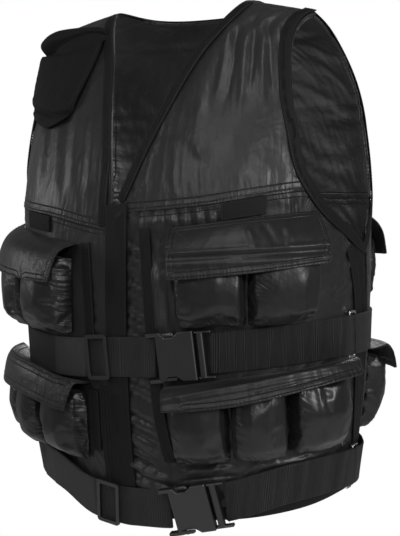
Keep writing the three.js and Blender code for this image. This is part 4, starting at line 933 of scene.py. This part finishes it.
class Stitching:
    """Collects seam lines and sews them with instanced stitches."""

    def __init__(self) -> None:
        """Starts with no seam."""
        self.seams: dict[str, list[Array]] = {}
        self.sizes = {"zip_teeth": {"Pitch": 2.4 * MM, "Stitch Length": 0.8 * MM, "Thickness": 1.5 * MM}}

    def sew(self, group: str, lines: list[Array]) -> None:
        """Adds lines to a group of seams."""
        self.seams.setdefault(group, []).extend(lines)

    def tree(self, look: bpy.types.Material) -> bpy.types.NodeTree:
        """Geometry Nodes that lay stitches along curves.

        Args:
            look: material of the thread.

        Returns:
            The node group.
        """
        group = bpy.data.node_groups.new("stitches", "GeometryNodeTree")
        face = group.interface
        face.new_socket("Geometry", in_out="INPUT", socket_type="NodeSocketGeometry")
        for label, value in (("Pitch", 4.0 * MM), ("Stitch Length", 1.45 * MM), ("Thickness", 0.42 * MM)):
            face.new_socket(label, in_out="INPUT", socket_type="NodeSocketFloat").default_value = value
        face.new_socket("Geometry", in_out="OUTPUT", socket_type="NodeSocketGeometry")
        make = GroupBuilder(group)
        inside, outside = make.add("NodeGroupInput"), make.add("NodeGroupOutput")
        points = make.add("GeometryNodeCurveToPoints", mode="LENGTH")
        ball = make.add("GeometryNodeMeshUVSphere", Segments=4, Rings=2, Radius=1.0)
        place = make.add("GeometryNodeInstanceOnPoints")
        size = make.add("ShaderNodeCombineXYZ")
        real = make.add("GeometryNodeRealizeInstances")
        paint = make.add("GeometryNodeSetMaterial", Material=look)
        make.link(inside.outputs["Geometry"], points.inputs["Curve"])
        make.link(inside.outputs["Pitch"], points.inputs["Length"])
        make.link(points.outputs["Points"], place.inputs["Points"])
        make.link(points.outputs["Rotation"], place.inputs["Rotation"])
        make.link(ball.outputs["Mesh"], place.inputs["Instance"])
        make.link(inside.outputs["Thickness"], size.inputs["X"])
        make.link(inside.outputs["Thickness"], size.inputs["Y"])
        make.link(inside.outputs["Stitch Length"], size.inputs["Z"])
        make.link(size.outputs[0], place.inputs["Scale"])
        make.link(place.outputs[0], real.inputs[0])
        make.link(real.outputs[0], paint.inputs["Geometry"])
        make.link(paint.outputs[0], outside.inputs[0])
        return group

    def build(self, look: bpy.types.Material) -> None:
        """Makes one mesh of stitches for each group.

        Args:
            look: material of the thread.
        """
        tree = self.tree(look)
        for label, lines in self.seams.items():
            data = bpy.data.curves.new(label, "CURVE")
            data.dimensions = "3D"
            for line in lines:
                spline = data.splines.new("POLY")
                spline.points.add(len(line) - 1)
                spline.points.foreach_set("co", np.column_stack([line, np.ones(len(line))]).ravel())
            curve = as_object(label + "_path", data)
            modifier = curve.modifiers.new("stitches", "NODES")
            modifier.node_group = tree
            for socket in tree.interface.items_tree:
                if socket.in_out == "INPUT" and socket.name in self.sizes.get(label, {}):
                    modifier[socket.identifier] = self.sizes[label][socket.name]
            mesh = evaluated_mesh(curve)
            bpy.data.objects.remove(curve)
            smooth_shading(mesh)
            dress(as_object(label, mesh), look, Slot.WEBBING)


def photo_folds() -> dict[str, list[Fold]]:
    """Folds that the photograph shows.

    Returns:
        Lists of folds by node.
    """
    folds: dict[str, list[Fold]] = {}
    yoke = [
        Fold(((231, 14), (224, 60), (213, 112)), 2.0, 4.0),
        Fold(((239, 14), (234, 62), (226, 104)), -1.7, 2.8),
        Fold(((247, 14), (243, 66), (240, 118)), 1.8, 3.6),
        Fold(((255, 14), (253, 60), (250, 90)), -1.6, 2.6),
        Fold(((262, 14), (262, 64), (264, 116)), 1.8, 3.4),
        Fold(((269, 16), (271, 62), (274, 96)), -1.4, 2.6),
        Fold(((277, 18), (281, 60), (287, 92)), 1.5, 3.4),
        Fold(((150, 137), (168, 134), (190, 137)), -1.4, 2.6),
        Fold(((176, 128), (192, 140), (203, 158)), 1.5, 4.0),
        Fold(((201, 96), (196, 130), (205, 168)), 1.6, 6.0),
    ]
    seam = ((120, 206), (180, 201.5), (230, 197.5), (262, 194.5), (290, 188), (332, 194))
    yoke.append(Fold(seam, -1.3, 1.5))
    for k in range(20):
        x = 137 + 9.3 * k
        tall = 20 + 9 * math.sin(1.9 * k)
        foot = 203 - 0.085 * (x - 128)
        yoke.append(Fold(((x - 2, foot - 3 - tall), (x, foot - 3)), 0.5 + 0.25 * math.sin(2.3 * k), 1.9))
    folds["yoke_front_left"] = yoke
    right = []
    for k in range(8):
        x = 36 + 8.6 * k
        right.append(Fold(((x + 8, 105 + 4 * (k % 3)), (x + 3, 160), (x, 196)), 1.1 * (-1) ** k, 3.4))
    right.append(Fold(((22, 199), (60, 211), (90, 220), (112, 227)), -1.3, 1.5))
    folds["yoke_front_right"] = right
    panel = [
        Fold(((170, 229), (170, 280), (176, 331)), 1.8, 1.5),
        Fold(((174, 229), (174, 280), (179, 331)), -1.2, 1.4),
        Fold(((249, 218), (262, 228), (280, 236)), 2.6, 3.0),
        Fold(((288, 196), (289, 212), (288, 226)), 2.4, 2.4),
        Fold(((296, 196), (297, 210), (296, 224)), -2.0, 2.2),
        Fold(((209, 224), (216, 216), (224, 208)), 2.0, 2.2),
        Fold(((203, 222), (209, 215), (214, 208)), -1.4, 2.0),
        Fold(((333, 290), (346, 282)), 2.4, 2.4),
        Fold(((336, 300), (345, 296)), -1.6, 2.0),
    ]
    for k, y in enumerate((241, 252, 264.5, 277, 290, 303.5, 316.5, 329)):
        low = y + 2.2 * math.sin(2.6 * k)
        line = ((119, low - 5), (129, low), (142, low + 8), (152, low + 12))
        panel.append(Fold(line, -3.2 + 1.1 * math.sin(4 * k), 1.6))
        panel.append(Fold(((123, low + 3), (147, low + 16)), 1.3 + 0.7 * math.sin(3 * k), 3.0))
    for k in range(5):
        y = 238 + 7.5 * k
        panel.append(Fold(((155, y + 3), (164, y), (173, y + 2)), -4.0, 1.7))
    panel.append(Fold(((153, 258), (156, 300), (159, 338)), 4.0, 2.8))
    panel.append(Fold(((163, 280), (166, 310), (168, 334)), -2.6, 3.0))
    for k in range(8):
        y = 384 + 10.5 * k
        low = y + 2.4 * math.sin(2.2 * k)
        panel.append(Fold(((122, low - 5), (137, low), (156, low + 10)), -3.0 + 1.2 * math.sin(3.4 * k), 1.7))
        panel.append(Fold(((124, low + 2), (156, low + 15)), 1.4 + 0.8 * math.sin(5 * k), 2.8))
    panel.append(Fold(((126, 224), (180, 221), (228, 216)), 2.4, 4.6))
    for k in range(14):
        x = 131 + 6.6 * k
        panel.append(Fold(((x, 208), (x + 2, 229)), 1.7 * (-1) ** k, 2.0))
    for k in range(9):
        x = 350 + 7 * (k % 2)
        panel.append(Fold(((x, 222 + 10 * k), (x - 7 * (-1) ** k, 232 + 10 * k)), 3.0, 2.2))
        panel.append(Fold(((330, 226 + 10 * k), (342, 231 + 10 * k)), -1.5, 2.2))
    panel += [
        Fold(((128, 460), (146, 472), (172, 481)), 4.0, 3.2),
        Fold(((130, 468), (148, 480), (176, 488)), -3.0, 2.2),
        Fold(((132, 478), (150, 489), (182, 494)), 3.5, 2.8),
        Fold(((178, 474), (206, 470), (238, 468)), 3.0, 3.0),
        Fold(((176, 482), (206, 478), (240, 475)), -2.4, 2.0),
        Fold(((250, 468), (290, 462), (330, 452)), 2.4, 2.6),
    ]
    folds["front_panel_left"] = panel
    folds["front_panel_right"] = [
        Fold(((90 + 1.2 * (k % 2), 272 + 6.5 * k), (103, 276 + 6.5 * k)), 1.7 * (-1) ** k, 2.0)
        for k in range(9)
    ]
    folds["flap_front_left_upper"] = [
        Fold(((160, 254), (178, 253), (250, 249), (290, 247), (332, 243.5), (350, 242)), 3.4, 2.1),
        Fold(((160, 259), (178, 258), (250, 255), (332, 250), (350, 249)), -3.0, 2.2),
        Fold(((160, 266), (178, 264), (250, 261), (332, 256), (350, 255)), 2.6, 2.6),
        Fold(((246, 226), (252, 238), (256, 249)), 2.2, 2.6),
        Fold(((262, 222), (270, 234), (276, 246)), -1.8, 2.6),
        Fold(((286, 224), (290, 236), (288, 247)), 2.2, 2.4),
        Fold(((300, 222), (297, 234), (300, 246)), -1.6, 2.2),
        Fold(((316, 224), (320, 236), (318, 244)), 1.6, 2.4),
    ]
    folds["flap_front_left_lower"] = [
        Fold(((150, 402), (201, 392), (250, 383), (300, 372), (366, 359)), 2.2, 2.0),
        Fold(((150, 408), (204, 400), (250, 392), (300, 382), (370, 368)), -2.2, 2.2),
        Fold(((168, 386), (178, 396), (184, 408)), 1.6, 2.2),
        Fold(((250, 372), (256, 384), (252, 400)), 2.4, 2.4),
        Fold(((291, 362), (294, 376), (300, 390)), -2.0, 2.6),
        Fold(((318, 356), (314, 370), (318, 384)), 2.2, 2.6),
    ]
    return folds


@dataclass
class Maker:
    """Makes one kind of piece, from the materials, seams and folds that all kinds share."""

    looks: dict[str, bpy.types.Material]
    stitching: Stitching
    folds: dict[str, list[Fold]]


@dataclass
class Shell(Maker):
    """Yokes, panels and gussets: the vest's cloth."""

    yoke_levels: int = 3
    lining_seams: tuple[float, ...] = (-0.034, -0.122, -0.141)

    def build(self) -> None:
        """Builds every piece of the shell."""
        for side in ("left", "right"):
            cloth = Cloth(f"yoke_front_{side}", self.yoke_levels)
            cloth.wrinkle(11, height=0.5, long=140, short=30, lean=8 if side == "left" else -14)
            cloth.wrinkle(12, height=0.25, long=90, short=9, lean=3)
            cloth.pucker(13, height=0.6, pitch=5, reach=8)
            cloth.lap()
            self.close(cloth, f"yoke_front_{side}_cloth", (0.27, 0.33), *SEAM_ROWS)
        cloth = Cloth("yoke_back", self.yoke_levels)
        cloth.close_armhole()
        cloth.wrinkle(21, height=1.3, long=120, short=38, lean=70)
        cloth.wrinkle(22, height=0.6, long=60, short=16, lean=12)
        cloth.pucker(23, height=0.7, pitch=7, reach=10)
        cloth.lap()
        for height in self.lining_seams:
            cloth.lift(-1.6 * MM * np.exp(-(((cloth.high - height) / 0.004) ** 2)))
            self.stitching.sew("stitches_shell", [cloth.level_line(height, widest=58)])
        self.close(cloth, "yoke_back_cloth", (0.46, 0.36), *SEAM_ROWS)
        for side in ("left", "right"):
            cloth = Cloth(f"front_panel_{side}", 4 if side == "left" else 3)
            cloth.wrinkle(31, height=1.2, long=70, short=24, lean=42 if side == "left" else -42)
            cloth.wrinkle(32, height=0.4, long=50, short=12, lean=-30)
            cloth.pucker(33, height=0.5, pitch=8, reach=9, upright=True)
            self.close(cloth, f"front_panel_{side}_cloth", (0.3, 0.47), 3.0)
            cloth = Cloth(f"side_gusset_{side}", 3)
            cloth.tuck()
            cloth.wrinkle(41, height=1.0, long=50, short=18, lean=70)
            self.close(cloth, f"side_gusset_{side}_cloth", (0.08, 0.4), 2.5)
        cloth = Cloth("back_panel", 3)
        cloth.wrinkle(51, height=1.5, long=70, short=26, lean=30)
        cloth.pucker(52, height=0.8, pitch=7, reach=10, upright=True)
        self.close(cloth, "back_panel_cloth", (0.5, 0.42), 3.0)

    def close(self, cloth: Cloth, name: str, flat: tuple[float, float], *seams: float) -> None:
        """Folds, sews and finishes one cloth.

        Args:
            cloth: the cloth.
            name: of its piece.
            flat: width and length that it was cut to; not used.
            seams: insets of its rows of stitches, in mm.
        """
        cloth.fold(self.folds.get(cloth.node, []))
        for seam in seams:
            self.stitching.sew("stitches_shell", cloth.inset(seam, 0.1))
        gusset = "gusset" in cloth.node
        look = self.looks["flat_webbing" if gusset else "satin_cloth"]
        piece = cloth.finish(name, look, Slot.WEBBING if gusset else Slot.SATIN)


class Tapes(Maker):
    """Bindings, placket, strips, zip tape and patches."""

    def build(self) -> None:
        """Builds every tape."""
        for node in ("neck_binding", "armhole_binding_left", "armhole_binding_right", "hem_binding"):
            self.tape(node, 2, "binding_tape", Slot.BINDING, crown=0.7, inset=1.8)
        self.tape("placket", 3, "binding_tape", Slot.BINDING, crown=1.4, inset=2.2)
        for node in ("strip_left", "strip_right", "strip_right_lower"):
            self.tape(node, 3, "flat_webbing", Slot.WEBBING, crown=0.3, inset=1.5)
        for side in ("left", "right"):
            self.tape(f"side_tape_{side}", 3, "flat_webbing", Slot.WEBBING, crown=0.5, inset=1.8)
            self.tape(f"patch_{side}", 3, "flat_webbing", Slot.WEBBING, crown=0.2, inset=1.5)
        self.tape("front_zip", 3, "flat_webbing", Slot.WEBBING, crown=0.2, inset=1.2)
        self.zip_teeth()

    def zip_teeth(self) -> None:
        """A row of teeth down the middle of the zip's tape."""
        points = coordinates(bpy.data.objects["front_zip_tape"].data)
        out = BODY.outward(points)
        heights = np.linspace(points[:, 2].min() + 4 * MM, points[:, 2].max() - 4 * MM, 60)
        line = []
        for height in heights:
            near = np.abs(points[:, 2] - height) < 6 * MM
            spot = points[near].mean(axis=0) + out[near].mean(axis=0) * 1.3 * MM
            line.append((spot[0], spot[1], height))
        self.stitching.sew("zip_teeth", [np.array(line)])

    def tape(self, node: str, levels: int, look: str, slot: Slot, crown: float, inset: float) -> None:
        """One tape, a little crowned between its stitched edges.

        Args:
            node: name of the CAD node.
            levels: how often each face is divided in four.
            look: name of the finish.
            slot: the record's material slot.
            crown: height of the middle, in mm.
            inset: of the stitches, in mm.
        """
        cloth = Cloth(node, levels, creased=0.75)
        if node == "armhole_binding_right":
            cloth.close_armhole()
        width = max(float(cloth.edge.max()), 1e-4)
        cloth.lift(crown * MM * ease(0.1, 0.9, cloth.edge / width) * cloth.outer())
        cloth.pucker(61, height=0.25, pitch=7, reach=4, upright=True)
        self.stitching.sew("stitches_tapes", cloth.inset(inset, 0.1))
        if node.startswith("patch"):
            cloth.along = cloth.round
        cloth.finish(f"{node}_tape", self.looks[look], slot)


@dataclass
class Pockets(Maker):
    """Filled cells under their flaps, front and back. Heights of creases are in mm."""

    voxel: float = 4.1 * MM
    pressure: float = 4.0
    frames: int = 20
    cap: float = 6.0 * MM
    side_cap: float = 1.1 * MM
    fill: float = 0.75
    gathers: float = 1.1
    side_creases: float = 1.3
    dents: float = 0.8

    def named(self, start: str) -> list[str]:
        """Names of the nodes that start so."""
        return sorted(name for name in FRAME["nodes"] if name.startswith(start))

    def build(self) -> None:
        """Builds the cells and the flaps."""
        started = [self.start(node) for node in self.named("cell")]
        self.blow(started)
        for thing in started:
            self.end(thing)
        for node in self.named("flap"):
            self.flap(node)

    def start(self, node: str) -> bpy.types.Object:
        """Makes a cell ready to be blown up.

        Args:
            node: name of the CAD node.

        Returns:
            A remeshed copy with its back pinned.
        """
        thing = as_object(node + "_cover", as_mesh(node + "_cover", welded(node)))
        remesh = thing.modifiers.new("remesh", "REMESH")
        remesh.mode, remesh.voxel_size = "VOXEL", self.voxel
        fine = evaluated_mesh(thing)
        thing.modifiers.clear()
        thing.data = fine
        inner = facing(fine, BODY.outward(coordinates(fine))) < -FACING
        pins = thing.vertex_groups.new(name="pins")
        pins.add(np.flatnonzero(inner).tolist(), 1.0, "REPLACE")
        cloth = thing.modifiers.new("cloth", "CLOTH")
        cloth.settings.vertex_group_mass = "pins"
        cloth.settings.use_pressure = True
        cloth.settings.uniform_pressure_force = self.pressure
        cloth.settings.quality = 6
        cloth.settings.shrink_min = -0.07
        cloth.settings.effector_weights.gravity = 0
        cloth.point_cache.frame_start = 1
        cloth.point_cache.frame_end = self.frames
        return thing

    def blow(self, things: list[bpy.types.Object]) -> None:
        """Runs the cloth of all cells together and keeps its result within the caps.

        Args:
            things: the cells.
        """
        before = [coordinates(thing.data) for thing in things]
        for frame in range(1, self.frames + 1):
            bpy.context.scene.frame_set(frame)
        after = [coordinates(evaluated_mesh(thing)) for thing in things]
        bpy.context.scene.frame_set(1)
        for thing, old, new in zip(things, before, after):
            away = BODY.outward(old)
            move = new - old
            out = np.einsum("ij,ij->i", move, away)
            aside = move - out[:, None] * away
            length = np.linalg.norm(aside, axis=1)
            aside *= (np.minimum(length, self.side_cap) / (length + 1e-9))[:, None]
            set_coordinates(thing.data, old + aside + away * np.clip(out, -2 * MM, self.cap)[:, None])

    def end(self, thing: bpy.types.Object) -> None:
        """Divides a cell, adds its gathers and dresses it.

        Args:
            thing: the cell.
        """
        node = thing.name.removesuffix("_cover")
        thing.modifiers.clear()
        fine = divided(thing, 1 if "front" in node else 0)
        points = coordinates(fine)
        away = BODY.outward(points)
        low, high = (np.array(corner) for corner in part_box(node))
        top = ease(high[2] - 30 * MM, high[2] - 4 * MM, points[:, 2])
        foot = ease(low[2] + 18 * MM, low[2] + 2 * MM, points[:, 2])
        turn = BODY.round(points)
        middle, half = (turn.max() + turn.min()) / 2, (turn.max() - turn.min()) / 2
        side = ease(0.55, 0.98, np.abs(turn - middle) / half)
        noise = Noise(70)
        outside = ease(-0.2, 0.4, facing(fine, away))
        upright = noise.ridges(turn / (11 * MM), points[:, 2] / (60 * MM)) - 0.3
        level = noise.ridges(points[:, 2] / (11 * MM) + turn / (40 * MM), turn / (40 * MM)) - 0.3
        broad = noise.ridges(turn / (45 * MM) + 5 * points[:, 2], points[:, 2] / (55 * MM)) - 0.3
        lift = self.gathers * upright * np.maximum(top, foot) + self.side_creases * level * side
        lift = lift + self.dents * broad
        points = points + away * (lift * MM * outside)[:, None]
        set_coordinates(fine, points)
        smooth_shading(fine)
        seam = np.minimum(points[:, 2] - low[2], (half - np.abs(turn - middle)))
        set_attributes(fine, np.maximum(seam, 0), turn + points[:, 2])
        piece = dress(as_object(f"{node}_pouch", fine), self.looks["pouch_satin"], Slot.PADDING, node)

    def flap(self, node: str) -> None:
        """One flap, folded over its cells.

        Args:
            node: name of the CAD node.
        """
        cloth = Cloth(node, 3)
        cloth.wrinkle(81, height=0.4, long=50, short=16, lean=10)
        cloth.pucker(82, height=0.7, pitch=6.5, reach=6, upright=True)
        cloth.fold(self.folds.get(node, []))
        for seam in SEAM_ROWS:
            self.stitching.sew("stitches_pockets", cloth.inset(seam, 0.1))
        # The flaps take the darker copy of the satin, painted shade.
        piece = cloth.finish(f"{node}_cloth", self.looks["flap_satin"], Slot.SATIN)


TABS = {"belt_upper_right": (56.0, 87.0), "belt_lower_right": (47.0, 100.0)}


@dataclass
class Belts(Maker):
    """Two belts of ribbed webbing, with TABS where it is sewn on itself, in pixels from the left."""

    tab_lift: float = 1.3 * MM

    def build(self) -> None:
        """Builds the six stretches."""
        for level in ("upper", "lower"):
            for part in ("right", "left", "back"):
                self.stretch(f"belt_{level}_{part}", part == "back")

    def stretch(self, node: str, behind: bool) -> None:
        """One stretch of belt, its ribs counted along its middle.

        Args:
            node: name of the CAD node.
            behind: whether it lies on the back.
        """
        cloth = Cloth(node, 3)
        turn = BODY.turn(cloth.points, behind)
        marks = np.linspace(turn.min(), turn.max(), 60)
        middle = [cloth.points[np.argsort(np.abs(turn - mark))[:24]].mean(axis=0) for mark in marks]
        step = np.linalg.norm(np.diff(np.array(middle), axis=0), axis=1)
        cloth.along = np.interp(turn, marks, np.concatenate([[0], np.cumsum(step)]))
        if node in TABS:
            self.double(cloth, *TABS[node])
        noise = Noise(91)
        cloth.lift(0.6 * MM * noise(cloth.along / 0.06, cloth.high / 0.3))
        self.stitching.sew("stitches_belts", cloth.inset(2.2, 0.05))
        cloth.finish(f"{node}_webbing", self.looks["rib_webbing"], Slot.WEBBING)

    def double(self, cloth: Cloth, start: float, end: float) -> None:
        """Smooths and lifts the stretch where the webbing is sewn on itself, and gives it all over the
        lighter crest colour of the painted rib highlight.

        Args:
            cloth: the belt.
            start: pixel of the photograph at which the stretch begins.
            end: pixel at which it ends.
        """
        column = cloth.pixels[:, 0]
        inside = ease(start - 0.6, start + 0.6, column) * ease(end + 0.6, end - 0.6, column)
        cloth.lift(self.tab_lift * inside * cloth.outer())
        # A fixed place along the ribs flattens their relief and paints the whole tab in the crest colour, a
        # painted highlight.
        cloth.along = np.where(inside > 0.5, 0.25 * RIB_PITCH_MM * MM, cloth.along)


class Padding(Maker):
    """The pad on the wearer's right shoulder."""

    def build(self) -> None:
        """Builds the pad."""
        cloth = Cloth("shoulder_pad", 3, creased=0.3)
        cloth.fold([
            Fold(((36, 55), (42, 53), (60, 51), (85, 45), (106, 34), (112, 31)), -7.0, 2.8),
            Fold(((44, 44), (60, 41), (84, 35), (104, 29)), 3.0, 5.0),
            Fold(((30, 106), (36, 109), (50, 115), (66, 113), (76, 103)), -5.0, 2.8),
            Fold(((60, 58), (58, 66), (52, 74)), -1.5, 3.0),
        ], all_round=True)
        cloth.wrinkle(95, height=1.2, long=60, short=24, lean=75)
        cloth.pucker(96, height=0.6, pitch=8, reach=8, upright=True)
        self.stitching.sew("stitches_tapes", cloth.inset(4.0, 0.1))
        piece = cloth.finish("shoulder_pad_cover", self.looks["pad_cloth"], Slot.MATTE_PAD)


@dataclass
class Hardware(Maker):
    """Buckles, sliders and rings, which keep their solids, with round edges."""

    edge: float = 0.7 * MM

    def build(self) -> None:
        """Dresses each solid."""
        for name, thing in FRAME["nodes"].items():
            if name.startswith(("buckle", "slider")):
                self.polish(thing, "moulded_plastic")
            elif name.startswith("ring"):
                self.polish(thing, "silver_wire")

    def polish(self, thing: bpy.types.Object, look: str) -> None:
        """Welds, rounds and paints one solid.

        Args:
            thing: the solid.
            look: name of the finish.
        """
        thing.modifiers.new("weld", "WELD").merge_threshold = WELD
        bevel = thing.modifiers.new("edges", "BEVEL")
        bevel.width, bevel.segments, bevel.limit_method = self.edge, 3, "ANGLE"
        for place in range(len(thing.material_slots)):
            thing.material_slots[place].material = self.looks[look]
        if not thing.material_slots:
            thing.data.materials.append(self.looks[look])


@dataclass
class ReleaseArms(Maker):
    """The latch's sprung arms, which show in the notches of each socket."""

    start: float = 18.0 * MM
    length: float = 17.5 * MM
    width: float = 4.6 * MM
    depth: float = 6.0 * MM
    inset: float = 0.9 * MM
    proud: float = 0.8 * MM
    taper: float = 0.8 * MM
    grip: float = 0.35 * MM
    rows: int = 15

    def build(self) -> None:
        """Builds the arms of both buckles."""
        for level in ("upper", "lower"):
            socket = self.places(f"buckle_socket_{level}")
            latch = self.places(f"buckle_latch_{level}")
            middle = socket.mean(axis=0)
            out = BODY.outward(middle[None])[0] * (1, 1, 0)
            out /= np.linalg.norm(out)
            along = latch.mean(axis=0) - middle
            along -= out * (along @ out)
            along /= np.linalg.norm(along)
            up = np.cross(out, along)
            turn = np.stack([along, up, out]).T
            local = (socket - middle) @ turn
            low, high = local.min(axis=0), local.max(axis=0)
            mesh = bmesh.new()
            for side in (1, -1):
                self.arm(mesh, low, high, side)
            place = Matrix([(*row, 0) for row in turn.tolist()] + [(0, 0, 0, 1)])
            place.translation = Vector(middle)
            data = as_mesh(f"release_arms_{level}", mesh)
            data.transform(place)
            smooth_shading(data)
            dress(as_object(f"release_arms_{level}", data), self.looks["moulded_plastic"], Slot.PLASTIC)

    def places(self, node: str) -> Array:
        """Corners of a node's solid."""
        return np.unique(np.round(coordinates(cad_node(node).data), 6), axis=0)

    def arm(self, mesh: bmesh.types.BMesh, low: Array, high: Array, side: int) -> None:
        """One arm with round edges and three grip grooves.

        Args:
            mesh: gets the arm.
            low: lowest corner of the socket in its own frame.
            high: highest corner.
            side: 1 for the upper arm, -1 for the lower.
        """
        rows = []
        for k in range(self.rows):
            share = k / (self.rows - 1)
            x = low[0] + self.start + share * self.length
            bow = math.sin(math.pi * share) ** 0.5 if 0 < share < 1 else 0.0
            grip = self.grip * (1 + math.cos(6 * math.pi * share)) / 2
            outer = high[1] - self.inset - self.taper * (1 - bow) - grip
            inner = high[1] - self.inset - self.width
            half = self.depth / 2 * (0.7 + 0.3 * bow)
            centre = (low[2] + high[2]) / 2 + self.proud
            corners = (
                (inner, -half), (inner, half), (outer - MM, half), (outer, half - MM),
                (outer, MM - half), (outer - MM, -half),
            )
            rows.append([mesh.verts.new((x, side * y, centre + z)) for y, z in corners])
        for one, two in zip(rows[:-1], rows[1:]):
            for k, _ in enumerate(one):
                mesh.faces.new((one[k - 1], one[k], two[k], two[k - 1]))
        mesh.faces.new(rows[0])
        mesh.faces.new(list(reversed(rows[-1])))
        bmesh.ops.recalc_face_normals(mesh, faces=mesh.faces)


LAMPS = (
    ("key", (-0.3, -2.2, 1.0), 0.7, 7),
    ("left_strip", (-1.9, -0.7, 0.1), 0.5, 4),
    ("right_strip", (2.1, -0.3, 0.2), 0.45, 16),
    ("beside_camera", (1.3, -1.7, 0.35), 0.5, 8),
    ("back", (-0.6, 2.2, 1.0), 1.0, 26),
    ("above", (0.3, -1.0, 1.4), 0.5, 5),
)


@dataclass(frozen=True)
class Studio:
    """White surroundings, a pale floor and LAMPS, each with a name, a place, a size and a power."""

    ambient: float = 0.15
    backdrop: float = 1.0
    lining_power: float = 0.3
    floor_height: float = -1.3

    def build(self) -> None:
        """Makes the world, the floor and the lights."""
        scene = bpy.context.scene
        scene.view_settings.view_transform = "Standard"
        world = bpy.data.worlds.new("studio")
        scene.world = world
        world.use_nodes = True
        make = GroupBuilder(world.node_tree)
        world.node_tree.nodes.clear()
        out = make.add("ShaderNodeOutputWorld")
        mix = make.add("ShaderNodeMixShader")
        light = make.add("ShaderNodeBackground", Color=(1, 1, 1, 1), Strength=self.ambient)
        seen = make.add("ShaderNodeBackground", Color=(1, 1, 1, 1), Strength=self.backdrop)
        make.link(make.add("ShaderNodeLightPath").outputs["Is Camera Ray"], mix.inputs[0])
        make.link(light.outputs[0], mix.inputs[1])
        make.link(seen.outputs[0], mix.inputs[2])
        make.link(mix.outputs[0], out.inputs[0])
        for name, spot, size, power in LAMPS:
            data = bpy.data.lights.new(name, "AREA")
            data.size, data.energy = size, power
            aim(as_object(name, data), spot)
        self.inside()
        self.floor()

    def inside(self) -> None:
        """Soft light in the hollow, as the photograph's lit lining shows."""
        data = bpy.data.lights.new("inside", "POINT")
        data.shadow_soft_size, data.energy = 0.08, self.lining_power
        lamp = as_object("inside", data)
        lamp.location = (0, BODY.centre_y, -0.16)
        lamp.visible_camera = False

    def floor(self) -> None:
        """A pale round floor far below the vest."""
        mesh = bmesh.new()
        bmesh.ops.create_circle(mesh, cap_ends=True, segments=96, radius=2.0)
        data = as_mesh("floor", mesh)
        data.transform(Matrix.Translation((0, 0, self.floor_height)))
        look = bpy.data.materials.new("pale_floor")
        look.use_nodes = True
        shader = look.node_tree.nodes["Principled BSDF"]
        GroupBuilder(look.node_tree).put(shader, Base_Color=(0.86, 0.86, 0.86, 1), Roughness=0.7)
        data.materials.append(look)
        as_object("floor", data)


def main() -> None:
    """Builds the vest round the frame."""
    logging.basicConfig(level=logging.INFO, format="%(message)s")
    FRAME.update(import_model())
    VIEW.build()
    groups = {"crumple": crumple_group(), "weave": weave_group()}
    looks = {finish.name: finish.build(groups) for finish in FINISHES}
    stitching = Stitching()
    folds = photo_folds()
    for maker in (Shell, Tapes, Pockets, Belts, Padding, Hardware, ReleaseArms):
        maker(looks, stitching, folds).build()
    stitching.build(looks["stitch_thread"])
    Studio().build()


if __name__ == "__main__":
    main()
